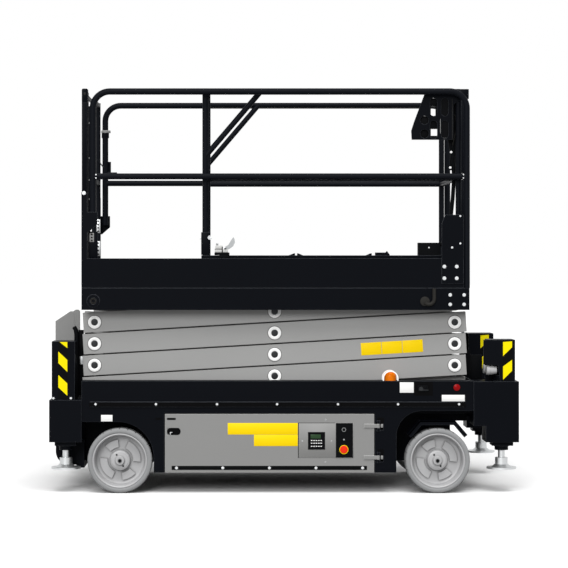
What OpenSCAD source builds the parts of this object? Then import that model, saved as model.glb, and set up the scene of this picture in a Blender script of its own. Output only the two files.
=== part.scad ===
// Self-propelled scissor lift with levelling jacks, a sliding deck and a swing gate.
// X runs to the steered end, Y across, Z up, in millimetres. The ground is Z = 0.

/* [Wheels] */
// Outer diameter of a tyre
wheel_d = 381; // [360:1:395]
// Width of a tyre
wheel_w = 127; // [110:1:135]
// Outer diameter of a rim, where the tyre sits
rim_d = 322; // [300:1:330]
// Overall width across the tyres
track_w = 1200; // [1196:1:1220]
// Rear wheel centre
rear_x = -966; // [-980:1:-950]
// Distance between the axles
wheel_base = 1870; // [1855:1:1885]
// Radius of a wheel spindle
spindle_r = 22; // [18:0.5:28]
// Radial play of a part that turns on a pin
fit = 0.05; // [0.02:0.01:0.1]

/* [Steering] */
// Distance of a kingpin inside a tyre's inner face
kingpin_in = 38; // [33:1:43]
// Radius of a kingpin
kingpin_r = 15; // [12:0.5:18]
// Length of a steering arm
steer_arm = 150; // [140:1:160]
// Half length of the steer axle's beam along the machine
steer_half = 32; // [28:1:36]
// Half height and length of the rear axle's beam
axle_half = 35; // [30:1:36]
// Half length of the flat top of a fender
fender_half = 105; // [95:1:110]
// Height of a fender's top
fender_z = 425; // [415:1:435]

/* [Chassis] */
// Rear end of the chassis
chassis_x0 = -1191; // [-1195:1:-1187]
// Front end of the chassis
chassis_x1 = 1115; // [1112:1:1118]
// Top of the chassis
chassis_z = 660; // [655:1:665]
// Underside of the middle of the chassis
belly_z = 121; // [115:1:130]
// Underside of the chassis between the wheels
neck_z = 160; // [156:1:170]
// Rear end of the raised nose of the chassis
nose_x = 1010; // [1000:1:1030]
// Underside of the raised nose of the chassis
nose_z = 400; // [380:1:420]
// Distance of the centre channel inside the inner arms
neck_in = 75; // [71:1:85]
// Distance of the side plates inside the overall width
side_in = 10; // [8:1:12]
// Thickness of the side plates
side_t = 6; // [4:1:7]
// Thickness of the frame plates
plate_t = 8; // [6:1:10]
// Height of the shelf the scissor folds down to
shelf_z = 470; // [465:1:475]
// Distance of the side wells outside the outer arms
well_out = 12; // [10:1:14]
// Front edge of the rear wheel arch
rear_arch_x = -766; // [-768:1:-752]
// Top of the rear wheel arch
rear_arch_z = 419; // [410:1:430]
// Corner radius of the rear wheel arch
rear_arch_r = 212; // [190:1:220]
// Front face of the wall behind the front wheels
front_arch_x = 640; // [632:1:646]
// Rear edge of the front wheel arch in the side plates
arch_edge_x = 661; // [655:1:665]
// Top of the front wheel arch
front_arch_z = 484; // [478:1:490]
// Corner radius of the front wheel arch
front_arch_r = 150; // [140:1:170]
// Height of the middle of the rub strips
rub_z = 522; // [515:1:530]
// Height of the tie-down lugs and the end beams
tie_z = 480; // [475:1:485]
// Underside of the rear skirt
skirt_z = 128; // [120:1:140]
// Distance of the rear skirt inside the jack boxes
skirt_in = 22; // [12:1:100]
// Rear end of the brackets beside the skirt
bracket_x = -1362; // [-1366:1:-1358]
// Underside of the brackets beside the skirt
bracket_z = 146; // [140:1:152]
// Corner radius of the brackets beside the skirt
bracket_r = 80; // [60:1:100]
// Distance of the tie-down holes inside the jack boxes
tie_in = 102; // [82:1:122]
// Radius of a tie-down hole
tie_r = 22; // [18:0.5:26]
// Half the width of a tie-down lug
tie_half = 45; // [40:1:50]
// Distance of the ladder's sides inside the tie-down line
ladder_in = 94; // [90:1:98]

/* [Side doors] */
// Latch end of a door
door_x0 = -700; // [-704:1:-696]
// Hinge end of a door
door_x1 = 530; // [526:1:534]
// Top of a door
door_z1 = 466; // [462:1:468]
// Gap round a door
door_gap = 5; // [5:1:8]
// Thickness of a door
door_t = 7; // [5:1:9]
// Hinge line, along the machine
hinge_x = 556; // [552:1:560]
// Distance of the hinge line outside the side plates
hinge_out = 2; // [0:0.5:2]
// Radius of a hinge pin
hinge_pin_r = 4; // [3:0.5:4.5]

/* [Levelling jacks] */
// Distance of the pad centres from the middle
jack_x = 1290; // [1286:1:1293]
// Distance of the pad centres inside the overall width
jack_in = 100; // [95:1:105]
// Radius of a jack rod
jack_rod_r = 20; // [16:0.5:24]
// Radius of a pad
pad_r = 87.5; // [80:0.5:90]
// Underside of a folded pad
pad_z = 137; // [130:1:145]
// Ends of the machine, where the jack boxes end
end_x = 1381; // [1378:1:1386]
// Underside of the jack boxes
jack_box_z = 300; // [296:1:305]
// Width of a jack box
jack_box_w = 198; // [194:1:200]

/* [Scissor] */
// Fixed pins at the rear end
pin_x = -1123; // [-1126:1:-1120]
// Distance between the rear and front pins when folded
pin_span = 2140; // [2130:1:2150]
// Lowest pins
low_pin_z = 618; // [614:1:622]
// Rise of one level when folded
level_rise = 128; // [127:0.5:130]
// Depth of an arm
arm_depth = 119; // [112:1:120]
// Length of an arm beyond its end pin
arm_over = 68; // [60:1:70]
// Wall of an arm
arm_wall = 6; // [4:0.5:8]
// Distance of an outer arm's inner face inside the overall width
arm_in = 185; // [183:1:187]
// Gap between an outer and an inner arm
arm_gap = 15; // [13:1:17]
// Width of an arm
arm_w = 55; // [50:1:56]
// Radius of a pin
pin_r = 20; // [16:0.5:24]
// Radius of the ring round a pin
ring_r = 38.5; // [34:0.5:42]
// Radius of a shaft between two inner arms
shaft_r = 30; // [25:1:40]
// Radius of a track roller
roller_r = 36; // [32:1:38]
// Play of a roller in its track
roller_gap = 1; // [0.5:0.5:2]

/* [Lift cylinder] */
// Foot pin of the cylinder, along the machine
foot_x = 500; // [490:1:510]
// Foot pin of the cylinder, height
foot_z = 400; // [395:1:405]
// Radius of the barrel
barrel_r = 65; // [55:1:70]
// Radius of the rod
rod_r = 40; // [30:1:45]
// Length of the barrel from its foot pin
barrel_len = 960; // [900:1:1000]
// Eye of the rod, along the lowest outer arm
eye_along = 320; // [315:1:325]
// Eye of the rod, below the lowest outer arm's middle line
eye_below = 80; // [75:1:85]

/* [Platform] */
// Rear end of the platform
deck_x0 = -1193; // [-1196:1:-1190]
// Front end of the platform
deck_x1 = 1093; // [1090:1:1100]
// Distance of the platform sides inside the overall width
deck_in = 25; // [20:1:27]
// Underside of the platform sides
frame_z0 = 1077; // [1075:1:1079]
// Height of the main deck's walking surface above the top pins
deck_rise = 76; // [74:1:80]
// Thickness of the main deck
floor_t = 8; // [5:1:9]
// Height of the toe boards above the walking surface
toe_h = 175; // [164:1:184]
// Thickness of the toe boards
toe_t = 6; // [4:1:6]

/* [Guard rails] */
// Middle line of the top rails
rail_z = 2366; // [2340:1:2380]
// Height of the mid rails, as a share of the way from deck to top rail
mid_share = 0.555; // [0.54:0.005:0.57]
// Height of the main mid rails above the sliding ones
mid_step = 8; // [4:1:12]
// Radius of a top rail or post
rail_r = 19; // [16:0.5:19]
// Radius of a mid rail
mid_r = 18; // [15:0.5:18]
// Bend radius of the top rails
bend_r = 100; // [80:1:120]
// Rear posts of the main rails
post_x0 = -1128; // [-1132:1:-1124]
// Front posts of the main rails
post_x1 = 1079; // [1066:1:1080]
// Height of the rear posts' feet above the toe boards
post_foot = 213; // [199:1:219]

/* [Gate] */
// Distance of the gate's hinge line inside the platform side
gate_hinge_in = 79; // [77:1:81]
// Middle line of the latch stile
gate_latch_y = 150; // [130:1:155]
// Radius of the gate tubes
gate_r = 14; // [12:0.5:15]
// Gap between the gate and the deck
gate_gap = 10; // [6:1:14]

/* [Sliding deck] */
// Rear end of the sliding deck
slide_x0 = -488; // [-492:1:-484]
// Front end of the sliding deck
slide_x1 = 1080; // [1076:1:1084]
// Distance of the sliding deck inside the platform side
slide_in = 55; // [53:1:57]
// Gap between the two decks
slide_gap = 6; // [5:1:8]
// Thickness of the sliding deck
slide_t = 10; // [8:1:12]
// Runners of the sliding deck, across the machine
runner_y = 300; // [200:1:400]
// Height of the inner toe boards above the outer ones
slide_toe_h = 18; // [9:1:24]
// Rear posts of the sliding rails
slide_post_x0 = -465; // [-469:1:-462]
// Front posts of the sliding rails
slide_post_x1 = 1036; // [1030:1:1040]
// Radius of the sliding posts
slide_rail_r = 17; // [15:0.5:17]

/* [Hidden] */
$fn = 48;
e = 1;
wheel_r = wheel_d / 2;
rim_r = rim_d / 2;
wheel_y = track_w / 2 - wheel_w / 2;
wheel_inner_y = track_w / 2 - wheel_w;
front_x = rear_x + wheel_base;
seat_gap = 0.3;
kingpin_y = wheel_inner_y - kingpin_in;
side_y = track_w / 2 - side_in;
hinge_y = side_y + hinge_out;
jack_y = track_w / 2 - jack_in;
jack_box_y = track_w / 2 - jack_box_w;
cover_y0 = jack_box_y + 13;
cover_y1 = track_w / 2 - 15;
tie_y = jack_box_y - tie_in;
ladder_y = tie_y - ladder_in;
skirt_y = jack_box_y - skirt_in;
outer_arm_y = track_w / 2 - arm_in;
inner_arm_y = outer_arm_y - arm_w - arm_gap;
neck_y = inner_arm_y - neck_in;
well_y = outer_arm_y + arm_w + well_out;
tray_y = neck_y + 22;
beacon_y = side_y - 55;
deck_y = track_w / 2 - deck_in;
rail_y = deck_y - toe_t - rail_r - seat_gap;
corner_y = deck_y - 35;
gate_hinge_y = -deck_y + gate_hinge_in;
slide_y = deck_y - slide_in;
top_pin_z = low_pin_z + 4 * level_rise;
floor_z = top_pin_z + deck_rise;
toe_z = floor_z + toe_h;
gate_z0 = floor_z + gate_gap;
post_z0 = toe_z + post_foot;
slide_toe_z = toe_z + slide_toe_h;
hinge_low_z = toe_z + 119;
hinge_high_z = rail_z - 166;
arm_len = sqrt(pin_span * pin_span + level_rise * level_rise);
arm_tilt = atan2(level_rise, pin_span);
outer_arm_y1 = outer_arm_y + arm_w;
inner_arm_y1 = inner_arm_y + arm_w;
ring_t = 4;
pin_end_y = outer_arm_y1 + ring_t - 1;
eye_dist = sqrt(eye_along * eye_along + eye_below * eye_below);
eye_turn = arm_tilt - atan2(eye_below, eye_along);
eye_x = pin_x + eye_dist * cos(eye_turn);
eye_z = low_pin_z + eye_dist * sin(eye_turn);
stroke_len = sqrt(pow(eye_x - foot_x, 2) + pow(eye_z - foot_z, 2));
barrel_tilt = atan2(eye_z - foot_z, foot_x - eye_x);
slide_z0 = floor_z + slide_gap;
slide_z1 = slide_z0 + slide_t;
slide_mid_z = slide_z1 + mid_share * (rail_z - slide_z1);
mid_z = slide_mid_z + mid_step;
slide_rail_y = slide_y - toe_t - slide_rail_r - seat_gap;
gate_x = deck_x0 + toe_t + gate_r + 1;
beam_x0 = chassis_x0 - 71;
beam_x1 = chassis_x1 + 125;
lug_x = 35;

// A box between two corners.
module span(x0, x1, y0, y1, z0, z1) {
  translate([x0, y0, z0]) cube([x1 - x0, y1 - y0, z1 - z0]);
}

// The children on the near and on the far side.
module both_sides() {
  children();
  mirror([0, 1, 0]) children();
}

// A round bar along Y.
module y_bar(x, z, r, y0, y1) {
  translate([x, y0, z]) rotate([-90, 0, 0]) cylinder(r = r, h = y1 - y0);
}

// A round bar along X.
module x_bar(y, z, r, x0, x1) {
  translate([x0, y, z]) rotate([0, 90, 0]) cylinder(r = r, h = x1 - x0);
}

// A round bar along Z.
module z_bar(x, y, r, z0, z1) {
  translate([x, y, z0]) cylinder(r = r, h = z1 - z0);
}

// A flat shape drawn in X and Z, standing between two Y faces.
module xz_plate(y0, y1) {
  translate([0, y1, 0]) rotate([90, 0, 0]) linear_extrude(y1 - y0) children();
}

// A tube of round section from (x0, z0) to (x1, z1) at one Y.
module slant_bar(x0, z0, x1, z1, y, r) {
  run = sqrt(pow(x1 - x0, 2) + pow(z1 - z0, 2));
  translate([x0, y, z0]) rotate([0, atan2(x1 - x0, z1 - z0), 0]) cylinder(r = r, h = run);
}

// A quarter bend in an upright plane along X, from an upright post to a level rail.
module post_bend(x, y, z, r, bend, dir) {
  translate([x + dir * bend, y, z - bend]) rotate([90, 0, 0]) rotate([0, 0, dir > 0 ? 90 : 0])
    rotate_extrude(angle = 90) translate([bend, 0]) circle(r = r);
}

// The outline of one chassis side with its wheel arches.
module side_outline() {
  difference() {
    polygon([[chassis_x0, rear_arch_z], [chassis_x0, chassis_z], [chassis_x1, chassis_z],
      [chassis_x1, front_arch_z], [arch_edge_x, front_arch_z], [arch_edge_x, belly_z],
      [rear_arch_x, belly_z], [rear_arch_x, rear_arch_z]]);
    translate([door_x0 - door_gap, belly_z - e])
      square([door_x1 - door_x0 + 2 * door_gap, door_z1 + door_gap - belly_z + e]);
    for (z = [210, 396]) translate([hinge_x - 16, z - 25]) square([45, 50]);
  }
  arch_corner(rear_arch_x, rear_arch_z, rear_arch_r, -1);
  arch_corner(arch_edge_x, front_arch_z, front_arch_r, 1);
}

// The rounded filling in an arch's upper corner.
module arch_corner(x, z, r, dir) {
  difference() {
    translate([dir > 0 ? x : x - r, z - r]) square([r, r]);
    translate([x + dir * r, z - r]) circle(r = r, $fn = 96);
  }
}

// One chassis side plate with its rub strip and hinge lugs.
module side_plate() {
  xz_plate(-side_y, -side_y + side_t) side_outline();
  span(chassis_x0 + 50, chassis_x1 - 58, -side_y - 8, -side_y, rub_z - 15, rub_z + 15);
  for (z = [210, 396]) {
    for (lug = [[z - 32, z - 13], [z + 13, z + 32]])
      span(hinge_x - 9, hinge_x + 9, -hinge_y - 6, -side_y + side_t, lug[0], lug[1]);
    z_bar(hinge_x, -hinge_y, hinge_pin_r, z - 14, z + 14);
  }
}

module chassis_sides() {
  color("#24262b") both_sides() side_plate();
}

// The floor between the wheels, its cross walls and the cylinder's foot.
module chassis_floor() {
  in_y = side_y - side_t;
  color("#24262b") {
    span(rear_arch_x, front_arch_x, -in_y + door_gap, in_y - door_gap, belly_z, belly_z + plate_t);
    both_sides() {
      for (x = [rear_arch_x, front_arch_x - plate_t])
        span(x, x + plate_t, neck_y + seat_gap, in_y, belly_z, shelf_z - plate_t - seat_gap);
      span(foot_x - 55, foot_x + 55, 66, 84, belly_z + plate_t - e, foot_z);
      y_bar(foot_x, foot_z, 55, 66, 84);
    }
    y_bar(foot_x, foot_z, 25, -84, 84);
  }
}

// The centre channel with its end plates and the lower roller tracks, notched for the axles.
module chassis_channel() {
  track_z0 = low_pin_z - roller_r - roller_gap;
  track_z1 = low_pin_z + roller_r + roller_gap;
  track_y = inner_arm_y - 7;
  plate_y = well_y - seat_gap;
  steer_gap = steer_half + seat_gap;
  axle_gap = axle_half + seat_gap;
  color("#24262b") difference() {
    union() {
      span(chassis_x0, rear_arch_x + plate_t, -neck_y, neck_y, neck_z, neck_z + plate_t);
      span(front_arch_x - plate_t, chassis_x1, -neck_y, neck_y, neck_z, neck_z + plate_t);
      both_sides() {
        span(chassis_x0, chassis_x1, neck_y - plate_t, neck_y, neck_z, shelf_z);
        span(rear_arch_x, front_arch_x, neck_y - plate_t, neck_y, belly_z + plate_t + seat_gap, neck_z + e);
        span(-75, 20 + e, neck_y - plate_t, neck_y, shelf_z - e, track_z0);
        span(20, chassis_x1 - plate_t, neck_y - plate_t, neck_y, shelf_z - e, track_z1 + plate_t);
        span(-75, chassis_x1 - plate_t, neck_y - e, track_y, track_z0 - plate_t, track_z0);
        span(40, chassis_x1 - plate_t, neck_y - e, track_y, track_z1, track_z1 + plate_t);
      }
      span(chassis_x1 - plate_t, chassis_x1, -plate_y, plate_y, shelf_z + seat_gap, chassis_z);
      span(chassis_x1 - plate_t, chassis_x1, -neck_y, neck_y, neck_z, shelf_z + e);
      span(chassis_x0, chassis_x0 + plate_t, -neck_y, neck_y, neck_z, shelf_z);
    }
    span(front_x - steer_gap, front_x + steer_gap, -neck_y - e, neck_y + e, neck_z - 20,
      neck_z + 70 + seat_gap);
    span(nose_x, chassis_x1 + e, -neck_y - e, neck_y + e, neck_z - e, nose_z);
    span(rear_x - axle_gap, rear_x + axle_gap, -neck_y - e, neck_y + e, wheel_r - axle_gap,
      wheel_r + axle_gap);
  }
}

// The shelves beside the channel, the inner walls of the side wells and the rear pin lugs.
module chassis_wells() {
  in_y = side_y - side_t;
  color("#24262b") both_sides() {
    span(chassis_x0, chassis_x1, neck_y + seat_gap, well_y + plate_t, shelf_z - plate_t, shelf_z);
    span(chassis_x0, chassis_x1, well_y, well_y + plate_t, shelf_z - plate_t, chassis_z);
    span(chassis_x0, chassis_x1, well_y, in_y, chassis_z - plate_t, chassis_z);
    span(pin_x - 57, pin_x + 57, outer_arm_y - 30, outer_arm_y - 7, shelf_z - e, low_pin_z);
    y_bar(pin_x, low_pin_z, 57, outer_arm_y - 30, outer_arm_y - 7);
    y_bar(pin_x, low_pin_z, pin_r, outer_arm_y - 30, pin_end_y);
  }
}

// The end beams between the jack boxes, the rear one with a skirt.
module end_beams() {
  beam_y = jack_box_y - seat_gap;
  color("#24262b") {
    span(beam_x0, chassis_x0 - seat_gap, -beam_y, beam_y, tie_z - 60, tie_z + 60);
    span(chassis_x0 - 48, chassis_x0 - seat_gap, -skirt_y, skirt_y, skirt_z, tie_z - 60 + e);
    both_sides() xz_plate(-skirt_y, -skirt_y + 10) {
      translate([bracket_x + bracket_r, bracket_z + bracket_r]) circle(r = bracket_r);
      translate([bracket_x, bracket_z + bracket_r])
        square([chassis_x0 - 40 - bracket_x, tie_z - 60 + e - bracket_z - bracket_r]);
      translate([bracket_x + bracket_r, bracket_z])
        square([chassis_x0 - 40 - bracket_x - bracket_r, bracket_r + e]);
    }
    span(chassis_x1 + seat_gap, beam_x1, -beam_y, beam_y, tie_z - 50, tie_z + 120);
  }
}

// The tie-down lugs, flat plates with an upright hole.
module tie_downs() {
  color("#24262b") both_sides() for (end = [[beam_x0 - 2 * lug_x, beam_x0 - seat_gap, beam_x0 - lug_x],
      [beam_x1 + seat_gap, beam_x1 + 2 * lug_x, beam_x1 + lug_x]]) difference() {
    span(end[0], end[1], tie_y - tie_half, tie_y + tie_half, tie_z - 8, tie_z + 8);
    z_bar(end[2], tie_y, tie_r, tie_z - 10, tie_z + 10);
  }
}

// One hollow jack box with the jack's barrel through it; dir is +1 at the front.
module jack_box(dir) {
  x_in = seat_gap + (dir > 0 ? chassis_x1 : -chassis_x0);
  top = dir > 0 ? 657 : 548;
  outer_y = track_w / 2;
  difference() {
    union() {
      difference() {
        span(x_in, end_x, -outer_y, -jack_box_y, jack_box_z, top);
        span(x_in + 6, end_x - 6, -outer_y + 6, -jack_box_y - 6, jack_box_z + 6, top - 6);
      }
      if (dir > 0) {
        span(x_in, 1193, -outer_y, -jack_box_y, 396, 402);
        span(1187, 1193, -outer_y, -jack_box_y, jack_box_z, 402);
      }
      z_bar(jack_x, -jack_y, 46, jack_box_z - 30, 690);
      span(jack_x - 62, jack_x + 62, -jack_y - 62, -jack_y + 62, jack_box_z - 24, jack_box_z + e);
      z_bar(jack_x, -jack_y, 40, jack_box_z - 52, jack_box_z);
    }
    if (dir > 0) span(x_in - e, 1187, -outer_y - e, -jack_box_y + e, jack_box_z - e, 396);
    z_bar(jack_x, -jack_y, jack_rod_r + fit, jack_box_z - 60, 700);
  }
}

module jack_boxes() {
  color("#24262b") both_sides() {
    jack_box(1);
    mirror([1, 0, 0]) jack_box(-1);
  }
}

// One jack cover, open at the bottom; x0 and x1 are its ends.
module jack_cover(x0, x1, z0, z1) {
  difference() {
    span(x0, x1, -cover_y1, -cover_y0, z0, z1);
    span(x0 + 4, x1 - 4, -cover_y1 + 4, -cover_y0 - 4, z0 - e, z1 - 4);
  }
}

module jack_covers() {
  color("#24262b") both_sides() {
    difference() {
      jack_cover(1173, 1360, 657, 902);
      xz_plate(-cover_y1 - 5, -cover_y1 + 10) polygon([[1170, 650], [1170, 757], [1258, 752], [1275, 650]]);
      span(1173 - e, 1202, -cover_y1 + 4, -cover_y0 + e, 657 - e, 902 + e);
    }
    jack_cover(-1367, -1232, 548, 892);
  }
}

// The rear ladder: two stringers with treads between them.
module ladder() {
  color("#8f8f8e") {
    both_sides() xz_plate(-ladder_y, -ladder_y + 10)
      polygon([[-1380, 330], [-1380, 1000], [-1290, 1060], [-1272, 1060], [-1262, 1048], [-1262, 420],
        [-1300, 330]]);
    for (z = [350, 590, 830]) span(-1378, -1275, -ladder_y + 9, ladder_y - 9, z, z + 30);
  }
}

module steer_axle() {
  color("#24262b") {
    span(front_x - steer_half, front_x + steer_half, -kingpin_y + 30, kingpin_y - 30, neck_z - 10,
      neck_z + 70);
    both_sides() difference() {
      z_bar(front_x, -kingpin_y, 34, 131, 249);
      z_bar(front_x, -kingpin_y, kingpin_r + fit, 130, 250);
    }
  }
}

module rear_axle() {
  color("#24262b") {
    span(rear_x - axle_half, rear_x + axle_half, -wheel_inner_y + 10, wheel_inner_y - 10, wheel_r - axle_half,
      wheel_r + axle_half);
    both_sides() y_bar(rear_x, wheel_r, spindle_r, -wheel_y - 52, -wheel_inner_y + 20);
  }
}

module beacon_lamp() {
  color("#e08a1e") {
    z_bar(628, -beacon_y, 36, chassis_z, chassis_z + 22);
    translate([628, -beacon_y, chassis_z + 22]) difference() {
      sphere(r = 36);
      translate([-50, -50, -100]) cube([100, 100, 100]);
    }
  }
}

module beacon_guard() {
  color("#e8e8e6") for (y = [-beacon_y - 48, -beacon_y + 40]) xz_plate(y, y + 8) difference() {
    union() {
      translate([628, chassis_z + 14]) circle(r = 46);
      translate([628 - 46, chassis_z]) square([92, 14]);
    }
    translate([628, chassis_z + 14]) circle(r = 39);
    translate([628 - 39, chassis_z - e]) square([78, 14 + e]);
    translate([628 - 60, chassis_z - 60]) square([120, 60]);
  }
}

// A wheel's place: x along the machine, side -1 near and +1 far, local Z outward.
module wheel_place(x, side) {
  translate([x, side * wheel_y, wheel_r]) rotate([-side * 90, 0, 0]) children();
}

module tyre() {
  color("#b5b5b3") rotate_extrude($fn = 96)
    polygon([[rim_r, -wheel_w / 2 + 5], [wheel_r - 12, -wheel_w / 2], [wheel_r, -wheel_w / 2 + 12],
      [wheel_r, wheel_w / 2 - 12], [wheel_r - 12, wheel_w / 2], [rim_r, wheel_w / 2 - 5]]);
}

// A dished rim with its hub.
module rim() {
  color("#c4c4c2") difference() {
    union() {
      difference() {
        translate([0, 0, -wheel_w / 2 + 5]) cylinder(r = rim_r, h = wheel_w - 10, $fn = 96);
        translate([0, 0, -wheel_w / 2]) cylinder(r = rim_r - 14, h = 86);
        translate([0, 0, wheel_w / 2 - 26]) cylinder(r = rim_r - 20, h = 30);
      }
      translate([0, 0, 2]) cylinder(r = 55, h = 46);
    }
    translate([0, 0, -e]) cylinder(r = spindle_r + fit, h = 60);
  }
}

module tyre_rear_near() { wheel_place(rear_x, -1) tyre(); }
module tyre_rear_far() { wheel_place(rear_x, 1) tyre(); }
module tyre_front_near() { wheel_place(front_x, -1) tyre(); }
module tyre_front_far() { wheel_place(front_x, 1) tyre(); }
module rim_rear_near() { wheel_place(rear_x, -1) rim(); }
module rim_rear_far() { wheel_place(rear_x, 1) rim(); }
module rim_front_near() { wheel_place(front_x, -1) rim(); }
module rim_front_far() { wheel_place(front_x, 1) rim(); }

// The near steering knuckle: a fork round the axle's boss, with spindle and steering arm.
module knuckle() {
  color("#24262b") {
    for (z = [[108, 126], [254, 272]]) {
      span(front_x - 40, front_x + 40, -wheel_inner_y - 18, -kingpin_y, z[0], z[1]);
      z_bar(front_x, -kingpin_y, 40, z[0], z[1]);
    }
    span(front_x - 60, front_x + 60, -wheel_inner_y - 18, -wheel_inner_y - 3, 108, 272);
    z_bar(front_x, -kingpin_y, kingpin_r, 110, 270);
    y_bar(front_x, wheel_r, spindle_r, -wheel_y - 52, -wheel_inner_y - 7);
    span(front_x - steer_arm, front_x, -kingpin_y - 22, -kingpin_y + 22, 108, 126);
    z_bar(front_x - steer_arm, -kingpin_y, 22, 108, 126);
    z_bar(front_x - steer_arm, -kingpin_y, 9, 108, 148);
  }
}

module knuckle_near() { knuckle(); }
module knuckle_far() { mirror([0, 1, 0]) knuckle(); }

// The near fender with its stay on the knuckle.
module fender() {
  drop_x = fender_half + 70;
  drop_z = fender_z - 82;
  color("#24262b") {
    xz_plate(-track_w / 2 + 5, -wheel_inner_y + 15) polygon([
      [front_x - fender_half, fender_z], [front_x + fender_half, fender_z],
      [front_x + drop_x, drop_z], [front_x + drop_x - 6, drop_z - 4], [front_x + fender_half - 3, fender_z - 7],
      [front_x - fender_half + 3, fender_z - 7], [front_x - drop_x + 6, drop_z - 4],
      [front_x - drop_x, drop_z]]);
    span(front_x - 38, front_x + 38, -wheel_inner_y + 5, -wheel_inner_y + 15, 272, fender_z - e);
  }
}

module fender_near() { fender(); }
module fender_far() { mirror([0, 1, 0]) fender(); }

module tie_rod() {
  color("#6f7275") difference() {
    union() {
      y_bar(front_x - steer_arm, 138, 9, -kingpin_y, kingpin_y);
      both_sides() z_bar(front_x - steer_arm, -kingpin_y, 20, 128, 147);
    }
    both_sides() z_bar(front_x - steer_arm, -kingpin_y, 9 + fit, 120, 160);
  }
}

// One jack rod with its collar and pad.
module jack(x, y) {
  color("#b9bbbd") {
    z_bar(x, y, jack_rod_r, pad_z + 20, 680);
    z_bar(x, y, 37, pad_z + 18, pad_z + 66);
    z_bar(x, y, pad_r, pad_z, pad_z + 10);
    translate([x, y, pad_z + 10]) cylinder(r1 = 60, r2 = 40, h = 16);
  }
}

module jack_rear_near() { jack(-jack_x, -jack_y); }
module jack_rear_far() { jack(-jack_x, jack_y); }
module jack_front_near() { jack(jack_x, -jack_y); }
module jack_front_far() { jack(jack_x, jack_y); }

// The near door with its tray and hinge knuckles; slots cut the latch end.
module side_door() {
  y0 = -side_y - 3;
  color("#8f8f8e") {
    difference() {
      span(door_x0, door_x1, y0, y0 + door_t, belly_z, door_z1);
      span(door_x0 + 12, door_x0 + 86, y0 - e, y0 + 4, 342, 383);
    }
    for (z = [210, 396]) difference() {
      union() {
        span(door_x1 - 60, hinge_x, y0 - 5, y0, z - 11, z + 11);
        z_bar(hinge_x, -hinge_y, 8, z - 12, z + 12);
      }
      z_bar(hinge_x, -hinge_y, hinge_pin_r + fit, z - 20, z + 20);
    }
    span(-610, 430, y0 + door_t - e, -tray_y, belly_z + 20, belly_z + 26);
    for (x = [-610, 424]) span(x, x + 6, y0 + door_t - e, -tray_y, belly_z + 20, belly_z + 120);
  }
}

module battery_door() { side_door(); }
module hydraulic_door() { mirror([0, 1, 0]) side_door(); }

// Four batteries in a row, as plain blocks.
module battery_pack() {
  color("#3a3f46") for (x = [-590, -350, -110, 130])
    span(x, x + 200, -side_y + 30, -tray_y - 18, belly_z + 26, belly_z + 296);
}

// Pump and tank, as plain blocks.
module hydraulic_unit() {
  color("#3a3f46") {
    span(-560, -160, tray_y + 18, side_y - 30, belly_z + 26, belly_z + 290);
    span(-100, 360, tray_y + 38, side_y - 50, belly_z + 26, belly_z + 230);
  }
}

// The charger display and the ground control panel on the near door.
module ground_controls() {
  y0 = -side_y - 3;
  color("#17181a") {
    span(141, 241, y0 - 4, y0, 257, 360);
    difference() {
      span(305, 405, y0 - 4, y0, 210, 413);
      y_bar(352, 373, 17, y0 - 5, y0 - 2);
    }
  }
}

// The place of an arm that rises towards the front.
module rising(level) {
  translate([pin_x, 0, low_pin_z + (level - 1) * level_rise]) rotate([0, -arm_tilt, 0]) children();
}

// The place of an arm that falls towards the front.
module falling(level) {
  translate([pin_x, 0, low_pin_z + level * level_rise]) rotate([0, arm_tilt, 0]) children();
}

// A straight box arm along X; an end under the deck is rounded so that it can turn there.
module arm(y0, round_start, round_end) {
  y1 = y0 + arm_w;
  x0 = round_start ? 0 : -arm_over;
  x1 = arm_len + (round_end ? 0 : arm_over);
  difference() {
    span(x0, x1, y0, y1, -arm_depth / 2, arm_depth / 2);
    span(x0 - e, x1 + e, y0 + arm_wall, y1 - arm_wall, -arm_depth / 2 + arm_wall, arm_depth / 2 - arm_wall);
  }
  if (round_start) y_bar(0, 0, arm_depth / 2, y0, y1);
  if (round_end) y_bar(arm_len, 0, arm_depth / 2, y0, y1);
}

// A pair of outer arms; the pins of the inner arms turn in their bores.
module outer_arm(level) {
  color("#8f8f8e") rising(level) both_sides() mirror([0, 1, 0]) {
    difference() {
      union() {
        arm(outer_arm_y, false, level == 4);
        for (x = [0, arm_len / 2, arm_len]) y_bar(x, 0, ring_r, outer_arm_y, outer_arm_y1 + ring_t);
      }
      for (x = [0, arm_len / 2, arm_len])
        if (level < 4 || x < arm_len) y_bar(x, 0, pin_r + fit, outer_arm_y - e, outer_arm_y1 + ring_t + e);
    }
    if (level == 4) {
      y_bar(arm_len, 0, pin_r, outer_arm_y1, deck_y - 20);
      y_bar(arm_len, 0, roller_r, outer_arm_y1 + 14, deck_y - 20);
    }
  }
}

// A pair of inner arms with their shafts and pins.
module inner_arm(level) {
  color("#8f8f8e") falling(level) {
    both_sides() mirror([0, 1, 0]) {
      arm(inner_arm_y, level == 4, false);
      for (x = [0, arm_len / 2, arm_len]) y_bar(x, 0, ring_r, inner_arm_y, inner_arm_y1 + 8);
      for (x = [0, arm_len / 2, arm_len])
        if (level > 1 || x < arm_len)
          y_bar(x, 0, pin_r, inner_arm_y, level == 4 && x == 0 ? deck_y + 1 : pin_end_y);
      if (level == 1) {
        y_bar(arm_len, 0, pin_r, neck_y + 14, inner_arm_y + e);
        y_bar(arm_len, 0, roller_r, neck_y + 14, inner_arm_y - 8);
      }
    }
    for (x = [0, arm_len / 2, arm_len])
      if (level > 1 || x < arm_len) y_bar(x, 0, shaft_r, -inner_arm_y - e, inner_arm_y + e);
  }
}

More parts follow.
